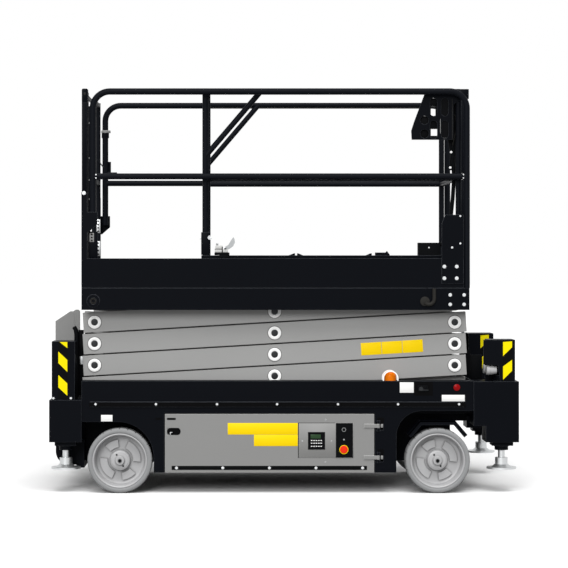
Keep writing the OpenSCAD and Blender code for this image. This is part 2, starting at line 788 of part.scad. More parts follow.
module outer_arm_1() {
  outer_arm(1);
  color("#8f8f8e") rising(1) {
    y_bar(eye_along - 150, -40, 32, -outer_arm_y - e, outer_arm_y + e);
    both_sides() xz_plate(46, 62) difference() {
      union() {
        translate([eye_along, -eye_below]) circle(r = 44);
        polygon([[eye_along - 150, -70], [eye_along - 150, -10], [eye_along, -eye_below + 44],
          [eye_along, -eye_below - 44]]);
      }
      translate([eye_along, -eye_below]) circle(r = 25);
    }
  }
}
module outer_arm_2() { outer_arm(2); }
module outer_arm_3() { outer_arm(3); }
module outer_arm_4() { outer_arm(4); }
module inner_arm_1() { inner_arm(1); }
module inner_arm_2() { inner_arm(2); }
module inner_arm_3() { inner_arm(3); }
module inner_arm_4() { inner_arm(4); }

// The cylinder's own frame: from its foot pin towards the rod's eye along Z.
module cylinder_line() {
  translate([foot_x, 0, foot_z]) rotate([0, -90 + barrel_tilt, 0]) children();
}

module lift_barrel() {
  color("#24262b") cylinder_line() difference() {
    union() {
      translate([0, 0, 40]) cylinder(r = barrel_r, h = barrel_len - 40);
      translate([0, 60, 0]) rotate([90, 0, 0]) cylinder(r = barrel_r, h = 120);
      translate([-barrel_r, -60, 0]) cube([2 * barrel_r, 120, 60]);
      translate([0, 0, barrel_len - 40]) cylinder(r = barrel_r + 6, h = 60);
    }
    translate([0, 0, 180]) cylinder(r = rod_r + fit, h = barrel_len);
    translate([0, 70, 0]) rotate([90, 0, 0]) cylinder(r = 25 + fit, h = 140);
  }
}

module lift_rod() {
  color("#d4d6d8") cylinder_line() difference() {
    union() {
      translate([0, 0, 400]) cylinder(r = rod_r, h = stroke_len - 430);
      translate([0, 40, stroke_len]) rotate([90, 0, 0]) cylinder(r = 44, h = 80);
    }
    translate([0, 50, stroke_len]) rotate([90, 0, 0]) cylinder(r = 25, h = 100);
  }
}

// One side of the platform: channel, roller track, toe board and rail bracket.
module platform_side() {
  track_z0 = top_pin_z - roller_r - roller_gap;
  track_z1 = top_pin_z + roller_r + roller_gap;
  track_y = outer_arm_y1 + 10;
  difference() {
    union() {
      span(deck_x0, deck_x1, -deck_y, -deck_y + 9, frame_z0, floor_z);
      span(deck_x0, deck_x1, -deck_y, -deck_y + 36, frame_z0, frame_z0 + 12);
      span(-120, deck_x1, -deck_y, -track_y, frame_z0, track_z0);
      span(-120, deck_x1, -deck_y, -track_y, track_z1, track_z1 + 8);
      y_bar(pin_x, top_pin_z, ring_r, -deck_y - ring_t, -deck_y + 20);
    }
    y_bar(pin_x, top_pin_z, pin_r + fit, -deck_y - ring_t - e, -deck_y + 30);
  }
  difference() {
    span(deck_x0, post_x1 - rail_r - 1, -deck_y, -deck_y + toe_t, floor_z - e, toe_z);
    span(deck_x0 - e, deck_x1, -deck_y - e, -deck_y + 3, floor_z, floor_z + 4);
  }
  xz_plate(-deck_y, -deck_y + toe_t) polygon([[deck_x0, toe_z - e], [deck_x0, 1771], [deck_x0 + 34, 1771],
    [deck_x0 + 34, 1654], [deck_x0 + 94, 1654], [deck_x0 + 94, 1582], [deck_x0 + 42, 1536], [deck_x0 + 34, 1536],
    [deck_x0 + 34, toe_z - e]]);
}

module platform_frame() {
  color("#202227") {
    both_sides() platform_side();
    xz_plate(-deck_y - 6, -deck_y) polygon([[929, 1233], [929, 1590], [950, 1638], [1057, 1638], [1057, 1233]]);
    span(deck_x0, deck_x0 + toe_t, -deck_y + e, gate_hinge_y - 8, floor_z - e, toe_z);
    span(deck_x0, deck_x0 + toe_t, gate_latch_y + 34, deck_y - e, floor_z - e, toe_z);
  }
}

module main_deck() {
  color("#3b3d40") {
    span(deck_x0 + toe_t, deck_x1, -deck_y + 9 + seat_gap, deck_y - 9 - seat_gap, floor_z - floor_t, floor_z);
    for (y = [-200, 0, 200]) span(deck_x0 + 120, deck_x1 - 60, y - 20, y + 20, floor_z - 24, floor_z - floor_t);
  }
}

// The fixed guard rails, rear corner posts and latch post.
module main_rails() {
  color("#202227") {
    both_sides() {
      z_bar(post_x0, -rail_y, rail_r, post_z0, rail_z - bend_r);
      post_bend(post_x0, -rail_y, rail_z, rail_r, bend_r, 1);
      x_bar(-rail_y, rail_z, rail_r, post_x0 + bend_r, post_x1 - bend_r);
      post_bend(post_x1, -rail_y, rail_z, rail_r, bend_r, -1);
      z_bar(post_x1, -rail_y, rail_r, floor_z, rail_z - bend_r);
      x_bar(-rail_y, mid_z, mid_r, post_x0, post_x1);
      z_bar(gate_x, -corner_y, gate_r, floor_z, rail_z + 15);
    }
    z_bar(gate_x, gate_latch_y + 40, gate_r, floor_z, rail_z);
    for (z = [rail_z, mid_z]) y_bar(gate_x, z, gate_r, gate_latch_y + 40, corner_y);
    for (z = [hinge_low_z, hinge_high_z]) {
      span(gate_x - 10, gate_x + 10, -corner_y, gate_hinge_y, z - 34, z - 22);
      z_bar(gate_x, gate_hinge_y, 10, z - 34, z - 22);
      z_bar(gate_x, gate_hinge_y, 8, z - 30, z + 20);
    }
  }
}

module gate() {
  stile_y = gate_hinge_y + 36;
  color("#202227") {
    z_bar(gate_x, stile_y, gate_r, gate_z0, rail_z);
    z_bar(gate_x, gate_latch_y, gate_r, gate_z0, rail_z);
    for (z = [rail_z - 20, mid_z]) y_bar(gate_x, z, gate_r - 2, stile_y, gate_latch_y);
    span(gate_x - 3, gate_x + 3, stile_y, gate_latch_y, gate_z0, toe_z);
    for (z = [hinge_low_z, hinge_high_z]) difference() {
      union() {
        z_bar(gate_x, gate_hinge_y, 13, z - 20, z + 20);
        span(gate_x - 8, gate_x + 8, gate_hinge_y, stile_y, z - 20, z + 20);
      }
      z_bar(gate_x, gate_hinge_y, 8 + fit, z - 30, z + 30);
    }
  }
}

module sliding_deck() {
  color("#202227") {
    span(slide_x0, slide_x1, -slide_y, slide_y, slide_z0, slide_z1);
    both_sides()
      span(slide_x0 + 20, slide_x1 - 20, -runner_y - 20, -runner_y + 20, floor_z + seat_gap, slide_z0 + e);
    both_sides() span(slide_x0, slide_x1, -slide_y, -slide_y + toe_t, slide_z1 - e, slide_toe_z);
    span(slide_x1 - toe_t, slide_x1, -slide_y + e, slide_y - e, slide_z1 - e, slide_toe_z);
  }
}

// The guard rails that ride on the sliding deck.
module sliding_rails() {
  r = slide_rail_r;
  y = slide_rail_y;
  color("#202227") {
    both_sides() {
      for (x = [slide_post_x0, slide_post_x1]) z_bar(x, -y, r, slide_z1, rail_z + r - 1);
      x_bar(-y, rail_z, r - 2, slide_post_x0, slide_post_x1);
      x_bar(-y, slide_mid_z, r - 1, slide_post_x0, slide_post_x1);
      slant_bar(slide_post_x0, rail_z - 381, slide_post_x0 + 325, rail_z, -y, r - 0.5);
    }
    for (z = [rail_z, slide_mid_z]) y_bar(slide_post_x1, z, r - 3, -y, y);
  }
}

// The plate that carries the control box on the near sliding rail.
module control_bracket() {
  y0 = -slide_rail_y - slide_rail_r - 5;
  color("#202227") difference() {
    xz_plate(y0, y0 + 5) translate([slide_post_x1, rail_z]) polygon([[-196, 6], [-264, -174], [-282, -230],
      [-279, -283], [-35, -283], [-35, -76], [12, -46], [12, 6]]);
    for (x = [-149, -83]) for (z = [-222, -89])
      xz_plate(y0 - e, y0 + 6) translate([slide_post_x1, rail_z]) {
      translate([x - 21, z - 32]) square([42, 64]);
      for (end = [-32, 32]) translate([x, z + end]) circle(r = 21);
    }
    for (z = [-247, -167]) y_bar(slide_post_x1 - 203, rail_z + z, 25, y0 - e, y0 + 6);
  }
}

module control_box() {
  y0 = -slide_rail_y - slide_rail_r;
  color("#17181a") {
    span(slide_post_x1 - 116, slide_post_x1 - 28, y0, y0 + 110, rail_z - 270, rail_z - 36);
    span(slide_post_x1 - 240, slide_post_x1 - 110, -slide_y, -slide_y + 60, slide_toe_z, slide_toe_z + 75);
  }
}

// The foot lever that locks the sliding deck.
module deck_lock() {
  color("#e8e8e6") xz_plate(-slide_y - 8, -slide_y)
    translate([slide_post_x0 + 60, slide_toe_z - 19]) polygon([[0, 0], [0, 45], [33, 60], [67, 120], [105, 128],
      [113, 108], [75, 90], [65, 0]]);
}

chassis_floor();
chassis_channel();
chassis_wells();
end_beams();
tie_downs();
chassis_sides();
jack_boxes();
jack_covers();
ladder();
steer_axle();
rear_axle();
beacon_lamp();
beacon_guard();
tyre_rear_near();
tyre_rear_far();
tyre_front_near();
tyre_front_far();
rim_rear_near();
rim_rear_far();
rim_front_near();
rim_front_far();
knuckle_near();
knuckle_far();
fender_near();
fender_far();
tie_rod();
jack_rear_near();
jack_rear_far();
jack_front_near();
jack_front_far();
battery_door();
battery_pack();
ground_controls();
hydraulic_door();
hydraulic_unit();
outer_arm_1();
outer_arm_2();
outer_arm_3();
outer_arm_4();
inner_arm_1();
inner_arm_2();
inner_arm_3();
inner_arm_4();
lift_barrel();
lift_rod();
platform_frame();
main_deck();
main_rails();
gate();
sliding_deck();
sliding_rails();
control_bracket();
control_box();
deck_lock();
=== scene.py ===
import math

import bmesh
import bpy
from mathutils import Matrix, Vector


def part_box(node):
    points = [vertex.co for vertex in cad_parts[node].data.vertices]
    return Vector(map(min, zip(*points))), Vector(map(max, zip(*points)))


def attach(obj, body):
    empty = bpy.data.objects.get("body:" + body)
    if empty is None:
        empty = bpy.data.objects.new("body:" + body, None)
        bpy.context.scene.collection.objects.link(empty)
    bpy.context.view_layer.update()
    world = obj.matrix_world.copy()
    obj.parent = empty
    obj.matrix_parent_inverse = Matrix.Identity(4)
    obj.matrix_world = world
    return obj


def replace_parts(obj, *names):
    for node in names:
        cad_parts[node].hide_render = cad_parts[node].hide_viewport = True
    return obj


bl_info = {
    "name": "Scissor lift finish",
    "version": (1, 0, 0),
    "blender": (4, 5, 0),
    "location": "View3D > Sidebar > Lift",
    "description": "Dresses the scissor lift with its finishes, wheels, rings, plates and controls",
    "category": "Object",
}

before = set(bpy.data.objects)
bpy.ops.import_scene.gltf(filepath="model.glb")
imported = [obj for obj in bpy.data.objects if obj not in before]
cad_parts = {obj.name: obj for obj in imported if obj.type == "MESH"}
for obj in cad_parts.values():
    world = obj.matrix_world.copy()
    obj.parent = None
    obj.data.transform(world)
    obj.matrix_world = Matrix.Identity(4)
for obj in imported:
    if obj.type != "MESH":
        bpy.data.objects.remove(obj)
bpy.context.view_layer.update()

X, Y, Z = range(3)
SIDES = (("near", -1), ("far", 1))
# Out of the near side, and up.
NEAR, UP = (0, -1, 0), (0, 0, 1)


def reach(node, axis):
    """The lowest and the highest place of a CAD node along an axis, to a tenth of a millimetre."""
    return [round(corner[axis], 4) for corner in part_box(node)]


def midway(node, axis):
    """The place in the middle of a CAD node along an axis."""
    return round(sum(reach(node, axis)) / 2, 4)


# Places on the machine, in metres. A Y place is a distance to either side of the middle plane.
WHEEL_X = {end: midway("rim_%s_far" % end, X) for end in ("rear", "front")}
WHEEL_Y = midway("rim_rear_far", Y)
WHEEL_Z = midway("rim_rear_far", Z)
FENDER_Y = reach("fender_far", Y)[1]
# The folded scissor: the span from rear to front pins, the rise from level to level, the arms' faces.
PIN_SPAN = 2.140
PIN_X = round(midway("inner_arm_1", X) - PIN_SPAN / 2, 4)
LEVEL_RISE = round(midway("inner_arm_2", Z) - midway("inner_arm_1", Z), 4)
LOW_PIN_Z = round(midway("inner_arm_1", Z) - LEVEL_RISE / 2, 4)
PIN_END_Y = reach("inner_arm_1", Y)[1]
TOP_PIN_Y = reach("inner_arm_4", Y)[1]
ARM_Y = round(PIN_END_Y - 0.003, 4)
# The chassis: rub strip and side plate, the near door's panel and skin, both sides of a jack cover.
RUB_Y = reach("chassis_sides", Y)[1]
SIDE_Y = round(RUB_Y - 0.008, 4)
PANEL_Y, DOOR_Y = [-y for y in reach("ground_controls", Y)]
COVER_Y = reach("jack_covers", Y)[1]
COVER_INNER_Y = round(COVER_Y - 0.170, 4)
# The platform: corner plate and side, and the control box's face towards the deck.
PLATE_Y = -reach("platform_frame", Y)[0]
DECK_Y = round(PLATE_Y - 0.006, 4)
CONTROL_Y = reach("control_box", Y)[1]
# Thickness and bevel of a label's film.
LABEL, LABEL_EDGE = 0.0008, 0.0003
# How far from a corner the painted shade reaches in a wheel.
CORNER_SHADE_REACH = 0.012
# The camera stands where the photograph's stood.
CAMERA_AT = (-0.259, -12.30, 1.381)
LENS_MM, LENS_SHIFT = 126.18, (0.0775, -0.0451)
# Each sun's direction from the lift, its width in degrees and its strength.
SUNS = {"key": ((-0.30, -1.20, 0.50), 24.0, 1.5), "top": ((0.05, -0.50, 1.0), 40.0, 2.3)}
# The world's light on the lift, the floor's tone to the camera and the tone with which it lights the lift.
SOFT_LIGHT, FLOOR_SEEN, FLOOR_BOUNCE = 0.42, 0.95, 0.25


def linear(code):
    """The linear colour of an sRGB hex code."""
    parts = [int(code[i:i + 2], 16) / 255 for i in (1, 3, 5)]
    return [c / 12.92 if c <= 0.04045 else ((c + 0.055) / 1.055) ** 2.4 for c in parts]


class LiftFinish(bpy.types.PropertyGroup):
    """Colours and sizes of the lift's finish."""
    black: bpy.props.FloatVectorProperty(name="Black", description="Powder coat of the frame and jack boxes",
                                         subtype="COLOR", size=3, default=linear("#07090e"))
    grey: bpy.props.FloatVectorProperty(name="Grey", description="Powder coat of the arms",
                                        subtype="COLOR", size=3, default=linear("#979796"))
    wheel: bpy.props.FloatVectorProperty(name="Wheel", description="Paint of the rims",
                                         subtype="COLOR", size=3, default=linear("#acacad"))
    yellow: bpy.props.FloatVectorProperty(name="Yellow", description="Film of the warning stripes",
                                          subtype="COLOR", size=3, default=linear("#f6e400"))
    amber: bpy.props.FloatVectorProperty(name="Amber", description="Film of the blank plates",
                                         subtype="COLOR", size=3, default=linear("#fbd60c"))
    bolt: bpy.props.FloatProperty(name="Bolt head", description="Radius of a small bolt head",
                                  subtype="DISTANCE", unit="LENGTH", default=0.0085)
    groove: bpy.props.FloatProperty(name="Groove", description="Depth of a groove across a tyre's tread",
                                    subtype="DISTANCE", unit="LENGTH", default=0.003)
    ring: bpy.props.FloatProperty(name="Ring", description="Outer radius of the ring round a pin",
                                  subtype="DISTANCE", unit="LENGTH", default=0.0392)


def empty_tree(made):
    """Empties the node tree of a material or a world, and gives it."""
    made.use_nodes = True
    made.node_tree.nodes.clear()
    return made.node_tree


def add_node(tree, kind, inputs=None, **settings):
    """Adds a node, sets it up and links it."""
    made = tree.nodes.new(kind)
    for key, value in settings.items():
        setattr(made, key, value)
    for key, value in (inputs or {}).items():
        if isinstance(value, bpy.types.NodeSocket):
            tree.links.new(value, made.inputs[key])
        else:
            made.inputs[key].default_value = value
    return made


def rgba(colour, factor=1.0):
    """A colour, made lighter or darker by a factor, with its alpha."""
    return (*[min(1.0, c * factor) for c in colour], 1.0)


def coated(name, colour, rough, grain_mm, bump, tone=0.08, edge_mm=0.0, edge_highlight=None, corner_shade=None, **sockets):
    """Makes a surface with a fine grain, soft tone changes and rounded edges; grain_mm is the grain's size.

    The edge colour is a painted highlight on edges that edge_mm rounds; the corner colour is painted shade in
    corners.
    Further names set the shader's own sockets, with _ for a space.
    """
    tree = empty_tree(bpy.data.materials.new(name))
    place = add_node(tree, "ShaderNodeTexCoord").outputs["Object"]
    broad = add_node(tree, "ShaderNodeTexNoise", {"Vector": place, "Scale": 2.6, "Detail": 4.0})
    fine = add_node(tree, "ShaderNodeTexNoise", {"Vector": place, "Scale": 1000.0 / grain_mm, "Detail": 2.0})
    ramp = add_node(tree, "ShaderNodeMix", {"Factor": broad.outputs["Fac"], "A": rgba(colour, 1 - tone),
                                            "B": rgba(colour, 1 + tone)}, data_type="RGBA")
    gloss = add_node(tree, "ShaderNodeMapRange", {"Value": fine.outputs["Fac"], "To Min": rough - 0.06,
                                                  "To Max": rough + 0.08})
    relief = {"Height": fine.outputs["Fac"], "Strength": bump, "Distance": grain_mm * 0.0003}
    if edge_mm:
        soft = add_node(tree, "ShaderNodeBevel", {"Radius": edge_mm * 0.001}, samples=4)
        relief["Normal"] = soft.outputs["Normal"]
    # Painted highlight: the edge colour is mixed in where the rounded normal bends away from the flat one.
    if edge_highlight:
        flat = add_node(tree, "ShaderNodeNewGeometry")
        bend = add_node(tree, "ShaderNodeVectorMath", {0: soft.outputs["Normal"], 1: flat.outputs["Normal"]},
                        operation="DOT_PRODUCT")
        highlight_mask = add_node(tree, "ShaderNodeMapRange", {"Value": bend.outputs["Value"], "From Min": 0.99,
                                                    "From Max": 0.80})
        ramp = add_node(tree, "ShaderNodeMix", {"Factor": highlight_mask.outputs["Result"], "A": ramp.outputs["Result"],
                                                "B": rgba(edge_highlight)}, data_type="RGBA")
    # Painted shade: the corner colour is mixed in where ambient occlusion finds corners.
    if corner_shade:
        corner_shade_mask = add_node(tree, "ShaderNodeAmbientOcclusion", {"Distance": CORNER_SHADE_REACH}, samples=8,
                        only_local=True)
        ramp = add_node(tree, "ShaderNodeMix", {"Factor": corner_shade_mask.outputs["AO"], "A": rgba(corner_shade),
                                                "B": ramp.outputs["Result"]}, data_type="RGBA")
    height = add_node(tree, "ShaderNodeBump", relief)
    shader = add_node(tree, "ShaderNodeBsdfPrincipled", {
        "Base Color": ramp.outputs["Result"], "Roughness": gloss.outputs["Result"],
        "Normal": height.outputs["Normal"],
        **{key.replace("_", " "): value for key, value in sockets.items()}})
    add_node(tree, "ShaderNodeOutputMaterial", {"Surface": shader.outputs["BSDF"]})


def finishes():
    """Makes the lift's materials once, and gives them by name."""
    own = bpy.context.scene.lift_finish
    if "black_powder_coat" not in bpy.data.materials:
        dull = {"Specular_IOR_Level": 0.035}
        film = {"Specular_IOR_Level": 0.08}
        # Powder coat: baked polyester with a slight orange peel, blue black, little shine, with a painted
        # highlight on edges.
        coated("black_powder_coat", own.black, 0.42, 3.0, 0.10, edge_mm=4.0, edge_highlight=linear("#4c4f54"), **dull)
        # The same coat on the rails' tubes.
        coated("rail_powder_coat", linear("#101217"), 0.42, 3.0, 0.10, edge_mm=2.5, **dull)
        # Powder coat in mid grey with the same peel, a little rougher, with a painted highlight on edges.
        coated("grey_powder_coat", own.grey, 0.50, 3.0, 0.12, tone=0.04, edge_mm=3.0, edge_highlight=linear("#b4b4b2"))
        # The same coat on doors and ladder, a darker copy as painted shade for the lesser light on them, with
        # a painted highlight on edges.
        coated("shaded_grey_coat", linear("#80807f"), 0.50, 3.0, 0.12, tone=0.04, edge_mm=4.0,
               edge_highlight=linear("#c4c4c2"))
        # Anti-slip deck coat: grit under paint, drawn coarser than real so that it shows.
        coated("grit_deck_coat", linear("#232528"), 0.75, 6.0, 0.6, tone=0.15, **dull)
        # Non-marking rubber: pale, dull, moulded.
        coated("grey_rubber", linear("#8a8b8c"), 0.82, 5.0, 0.25, tone=0.06)
        # Painted shade at the bottom of the tread's grooves.
        coated("groove_shade_rubber", linear("#626261"), 0.90, 5.0, 0.25, tone=0.2)
        # Rim paint over cast iron: satin with a faint casting grain, with painted shade in the corners.
        coated("cast_rim_paint", own.wheel, 0.38, 6.0, 0.12, tone=0.04, corner_shade=linear("#202020"))
        # Zinc-plated steel: bright, slightly cloudy.
        coated("zinc_plated_steel", linear("#c6c8c9"), 0.36, 4.0, 0.08, Metallic=0.9)
        # Hard chrome on a ground rod: mirror-like with a faint haze of wear.
        coated("hard_chrome", linear("#d9dbdd"), 0.14, 2.0, 0.02, Metallic=1.0)
        # Oiled steel of pin ends: dark, half bare.
        coated("oiled_steel", linear("#1b1d1f"), 0.45, 4.0, 0.1, Metallic=0.6)
        # White nylon of bearing rings and the lamp guard: waxy, softly rounded.
        coated("white_nylon", linear("#fcfcfb"), 0.48, 4.0, 0.08, tone=0.02, edge_mm=1.0)
        # White enamel on the deck lock: pale grey, a little glossy.
        coated("white_enamel", linear("#cbcbc9"), 0.45, 4.0, 0.06, tone=0.05, edge_mm=1.5, **film)
        # Cast vinyl film in warning yellow: smooth, bright, a little lemon.
        coated("yellow_film", own.yellow, 0.38, 8.0, 0.03, tone=0.02, **film)
        # Cast vinyl film of the blank plates: deeper yellow.
        coated("amber_film", own.amber, 0.38, 8.0, 0.03, tone=0.03, **film)
        # Cast vinyl film in white and in black.
        coated("white_film", linear("#f0f0ee"), 0.40, 8.0, 0.03, tone=0.02)
        coated("black_film", linear("#060708"), 0.40, 8.0, 0.03, **dull)
        # ABS housing: moulded with a fine spark grain.
        coated("black_abs", linear("#08090b"), 0.55, 1.5, 0.25, **dull)
        # Painted shade: near-black inside slots, holes and pockets; also the dark face of the strip along the
        # chassis, its own colour.
        coated("shade_and_strip_black", linear("#050506"), 0.80, 4.0, 0.1, Specular_IOR_Level=0.05)
        # Acrylic lenses and the display: smooth, glossy and deep in colour.
        coated("amber_lens", linear("#e87708"), 0.22, 10.0, 0.02, tone=0.12, IOR=1.49, **film)
        coated("red_lens", linear("#8c070b"), 0.20, 6.0, 0.02, **film)
        coated("green_display", linear("#2c452c"), 0.2, 6.0, 0.02, **film)
        # Button cap: moulded red plastic with a polished top.
        coated("red_plastic", linear("#e6321a"), 0.30, 6.0, 0.03, **film)
        # Hose rubber: dark brown grey, worn matt.
        coated("hose_rubber", linear("#282725"), 0.60, 4.0, 0.2, **film)
        # Turned aluminium: silky grey with a fine tool grain.
        coated("bare_aluminium", linear("#949697"), 0.38, 3.0, 0.1, Metallic=1.0)
    return bpy.data.materials


def finish_piece(name, bm, body, slot, *names, crease=35.0):
    """Makes the bmesh an object at the origin that rides on a body."""
    bmesh.ops.remove_doubles(bm, verts=bm.verts, dist=1e-6)
    bmesh.ops.recalc_face_normals(bm, faces=bm.faces)
    mesh = bpy.data.meshes.new(name)
    bm.to_mesh(mesh)
    bm.free()
    mesh.polygons.foreach_set("use_smooth", [True] * len(mesh.polygons))
    mesh.set_sharp_from_angle(angle=math.radians(crease))
    made = bpy.data.objects.new(name, mesh)
    bpy.context.scene.collection.objects.link(made)
    for each in names:
        mesh.materials.append(finishes()[each])
    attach(made, body)
    return made


def paint(verts, index):
    """Gives all faces at these vertices one of the piece's materials."""
    for face in {f for v in verts if v.is_valid for f in v.link_faces}:
        face.material_index = index


def soften(bm, edges, offset, segments=2):
    """Rounds edges with a bevel."""
    bmesh.ops.bevel(bm, geom=edges, offset=offset, offset_type="OFFSET", affect="EDGES", segments=segments,
                    profile=0.5, material=-1)


def slab(bm, low, high, edge=0.0, index=0, turn=None, corner=0.0):
    """A box between two corners; edge bevels it, corner rounds its outline in X and Z, turn comes last."""
    low, high = Vector(low), Vector(high)
    place = Matrix.Translation((low + high) / 2) @ Matrix.Diagonal((*(high - low), 1.0))
    before = set(bm.verts)
    verts = bmesh.ops.create_cube(bm, size=1.0, matrix=place)["verts"]
    paint(verts, index)
    if corner:
        upright = [e for e in {e for v in verts for e in v.link_edges}
                   if (e.verts[0].co - e.verts[1].co).xz.length < 1e-9]
        soften(bm, upright, corner, 6)
    if edge:
        edges = list({e for v in bm.verts if v not in before for e in v.link_edges
                      if e.calc_face_angle(0.0) > 0.5})
        soften(bm, edges, edge)
    if turn is not None:
        bmesh.ops.transform(bm, matrix=turn, verts=[v for v in bm.verts if v not in before])


def plate(bm, low, high, y, half, edge=0.0, index=0, corner=0.0):
    """A slab from y - half to y + half; low and high are its corners in X and Z."""
    slab(bm, (low[0], y - half, low[1]), (high[0], y + half, high[1]), edge, index, corner=corner)


def label(bm, low, high, y, index=0):
    """A film on a face of the near side; low and high are its corners in X and Z."""
    slab(bm, (low[0], y - LABEL, low[1]), (high[0], y, high[1]), LABEL_EDGE, index)


def aim(centre, axis):
    """The matrix that stands local Z along an axis at a centre."""
    turn = Vector(UP).rotation_difference(Vector(axis)).to_matrix().to_4x4()
    return Matrix.Translation(Vector(centre)) @ turn


def drum(bm, centre, axis, radius, depth, steps=24, top=None, edge=0.0, index=0):
    """A round bar that stands on centre along axis; top is its radius at the far end."""
    place = aim(centre, axis) @ Matrix.Translation((0, 0, depth / 2))
    verts = bmesh.ops.create_cone(bm, cap_ends=True, segments=steps, radius1=radius,
                                  radius2=radius if top is None else top, depth=depth, matrix=place)["verts"]
    paint(verts, index)
    if edge:
        rims = list({e for v in verts for e in v.link_edges if any(len(f.verts) > 4 for f in e.link_faces)})
        soften(bm, rims, edge)


def lathe(bm, profile, centre, axis, steps, index=0):
    """Spins a closed profile of (radius, height) points about an axis that stands on centre."""
    before = set(bm.verts)
    verts = [bm.verts.new((r, 0.0, h)) for r, h in profile]
    edges = [bm.edges.new(pair) for pair in zip(verts, verts[1:] + verts[:1])]
    bmesh.ops.spin(bm, geom=verts + edges, cent=(0, 0, 0), axis=UP, angle=math.tau, steps=steps,
                   use_merge=True)
    fresh = [v for v in bm.verts if v not in before]
    bmesh.ops.remove_doubles(bm, verts=fresh, dist=1e-6)
    fresh = [v for v in bm.verts if v not in before]
    bmesh.ops.transform(bm, matrix=aim(centre, axis), verts=fresh)
    paint(fresh, index)


def tube(bm, radii, heights, centre, axis, steps, index=0):
    """A round tube between an inner and an outer radius and between two heights on its axis."""
    (inner, outer), (low, high) = radii, heights
    lathe(bm, [(inner, low), (outer, low), (outer, high), (inner, high)], centre, axis, steps, index)


def outline_plate(bm, points, y0, y1, index=0):
    """A flat plate with an outline in X and Z, between two Y faces."""
    face = bm.faces.new([bm.verts.new((x, y0, z)) for x, z in points])
    raised = bmesh.ops.extrude_face_region(bm, geom=[face])["geom"]
    verts = [v for v in raised if isinstance(v, bmesh.types.BMVert)]
    bmesh.ops.translate(bm, vec=(0, y1 - y0, 0), verts=verts)
    paint(verts + list(face.verts), index)


def hose(bm, path, radius, steps, index=0):
    """A round hose along a path of points."""
    points = [Vector(p) for p in path]
    heading = (points[1] - points[0]).normalized()
    ring = bmesh.ops.create_circle(bm, cap_ends=False, segments=steps, radius=radius,
                                   matrix=aim(points[0], heading))["verts"]
    for here, there in zip(points, points[1:]):
        turn = heading.rotation_difference((there - here).normalized()).to_matrix().to_4x4()
        heading = (there - here).normalized()
        loop = [e for e in {e for v in ring for e in v.link_edges}
                if e.verts[0] in ring and e.verts[1] in ring]
        grown = bmesh.ops.extrude_edge_only(bm, edges=loop)["geom"]
        fresh = [v for v in grown if isinstance(v, bmesh.types.BMVert)]
        move = Matrix.Translation(there) @ turn @ Matrix.Translation(-here)
        bmesh.ops.transform(bm, matrix=move, verts=fresh)
        paint(fresh + ring, index)
        ring = fresh


def bolt(bm, centre, axis, radius, index=0):
    """A hex bolt head on a washer."""
    drum(bm, centre, axis, radius * 1.35, radius * 0.22, 20, index=index)
    lift = Vector(centre) + Vector(axis) * radius * 0.22
    drum(bm, lift, axis, radius, radius * 0.62, 6, top=radius * 0.93, index=index)


def level_z(number):
    """Height of the rear pin at the foot of a level of arms."""
    return LOW_PIN_Z + LEVEL_RISE * (number - 1)


class LIFT_OT_paint(bpy.types.Operator):
    """Gives every shown CAD node its finish"""
    bl_idname = "lift.paint"
    bl_label = "Paint the frame"

    def execute(self, context):
        # Each finish with the first words of its nodes' names; all other nodes are black.
        coats = {"grey_rubber": "tyre", "cast_rim_paint": "rim", "hard_chrome": "lift_rod",
                 "grit_deck_coat": "main_deck", "amber_lens": "beacon_lamp", "white_nylon": "beacon_guard",
                 "bare_aluminium": "deck_lock", "grey_powder_coat": ("outer_arm", "inner_arm"),
                 "zinc_plated_steel": ("jack_rear", "jack_front", "tie_rod"),
                 # Doors and ladder take the darker copy of the grey coat, as painted shade.
                 "shaded_grey_coat": ("battery_door", "hydraulic_door", "ladder"),
                 "rail_powder_coat": ("main_rails", "sliding_rails", "gate"),
                 "black_abs": ("control_box", "ground_controls", "battery_pack", "hydraulic_unit")}
        for name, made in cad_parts.items():
            finish = next((f for f, starts in coats.items() if name.startswith(starts)), "black_powder_coat")
            made.data.materials.clear()
            made.data.materials.append(finishes()[finish])
        return {"FINISHED"}


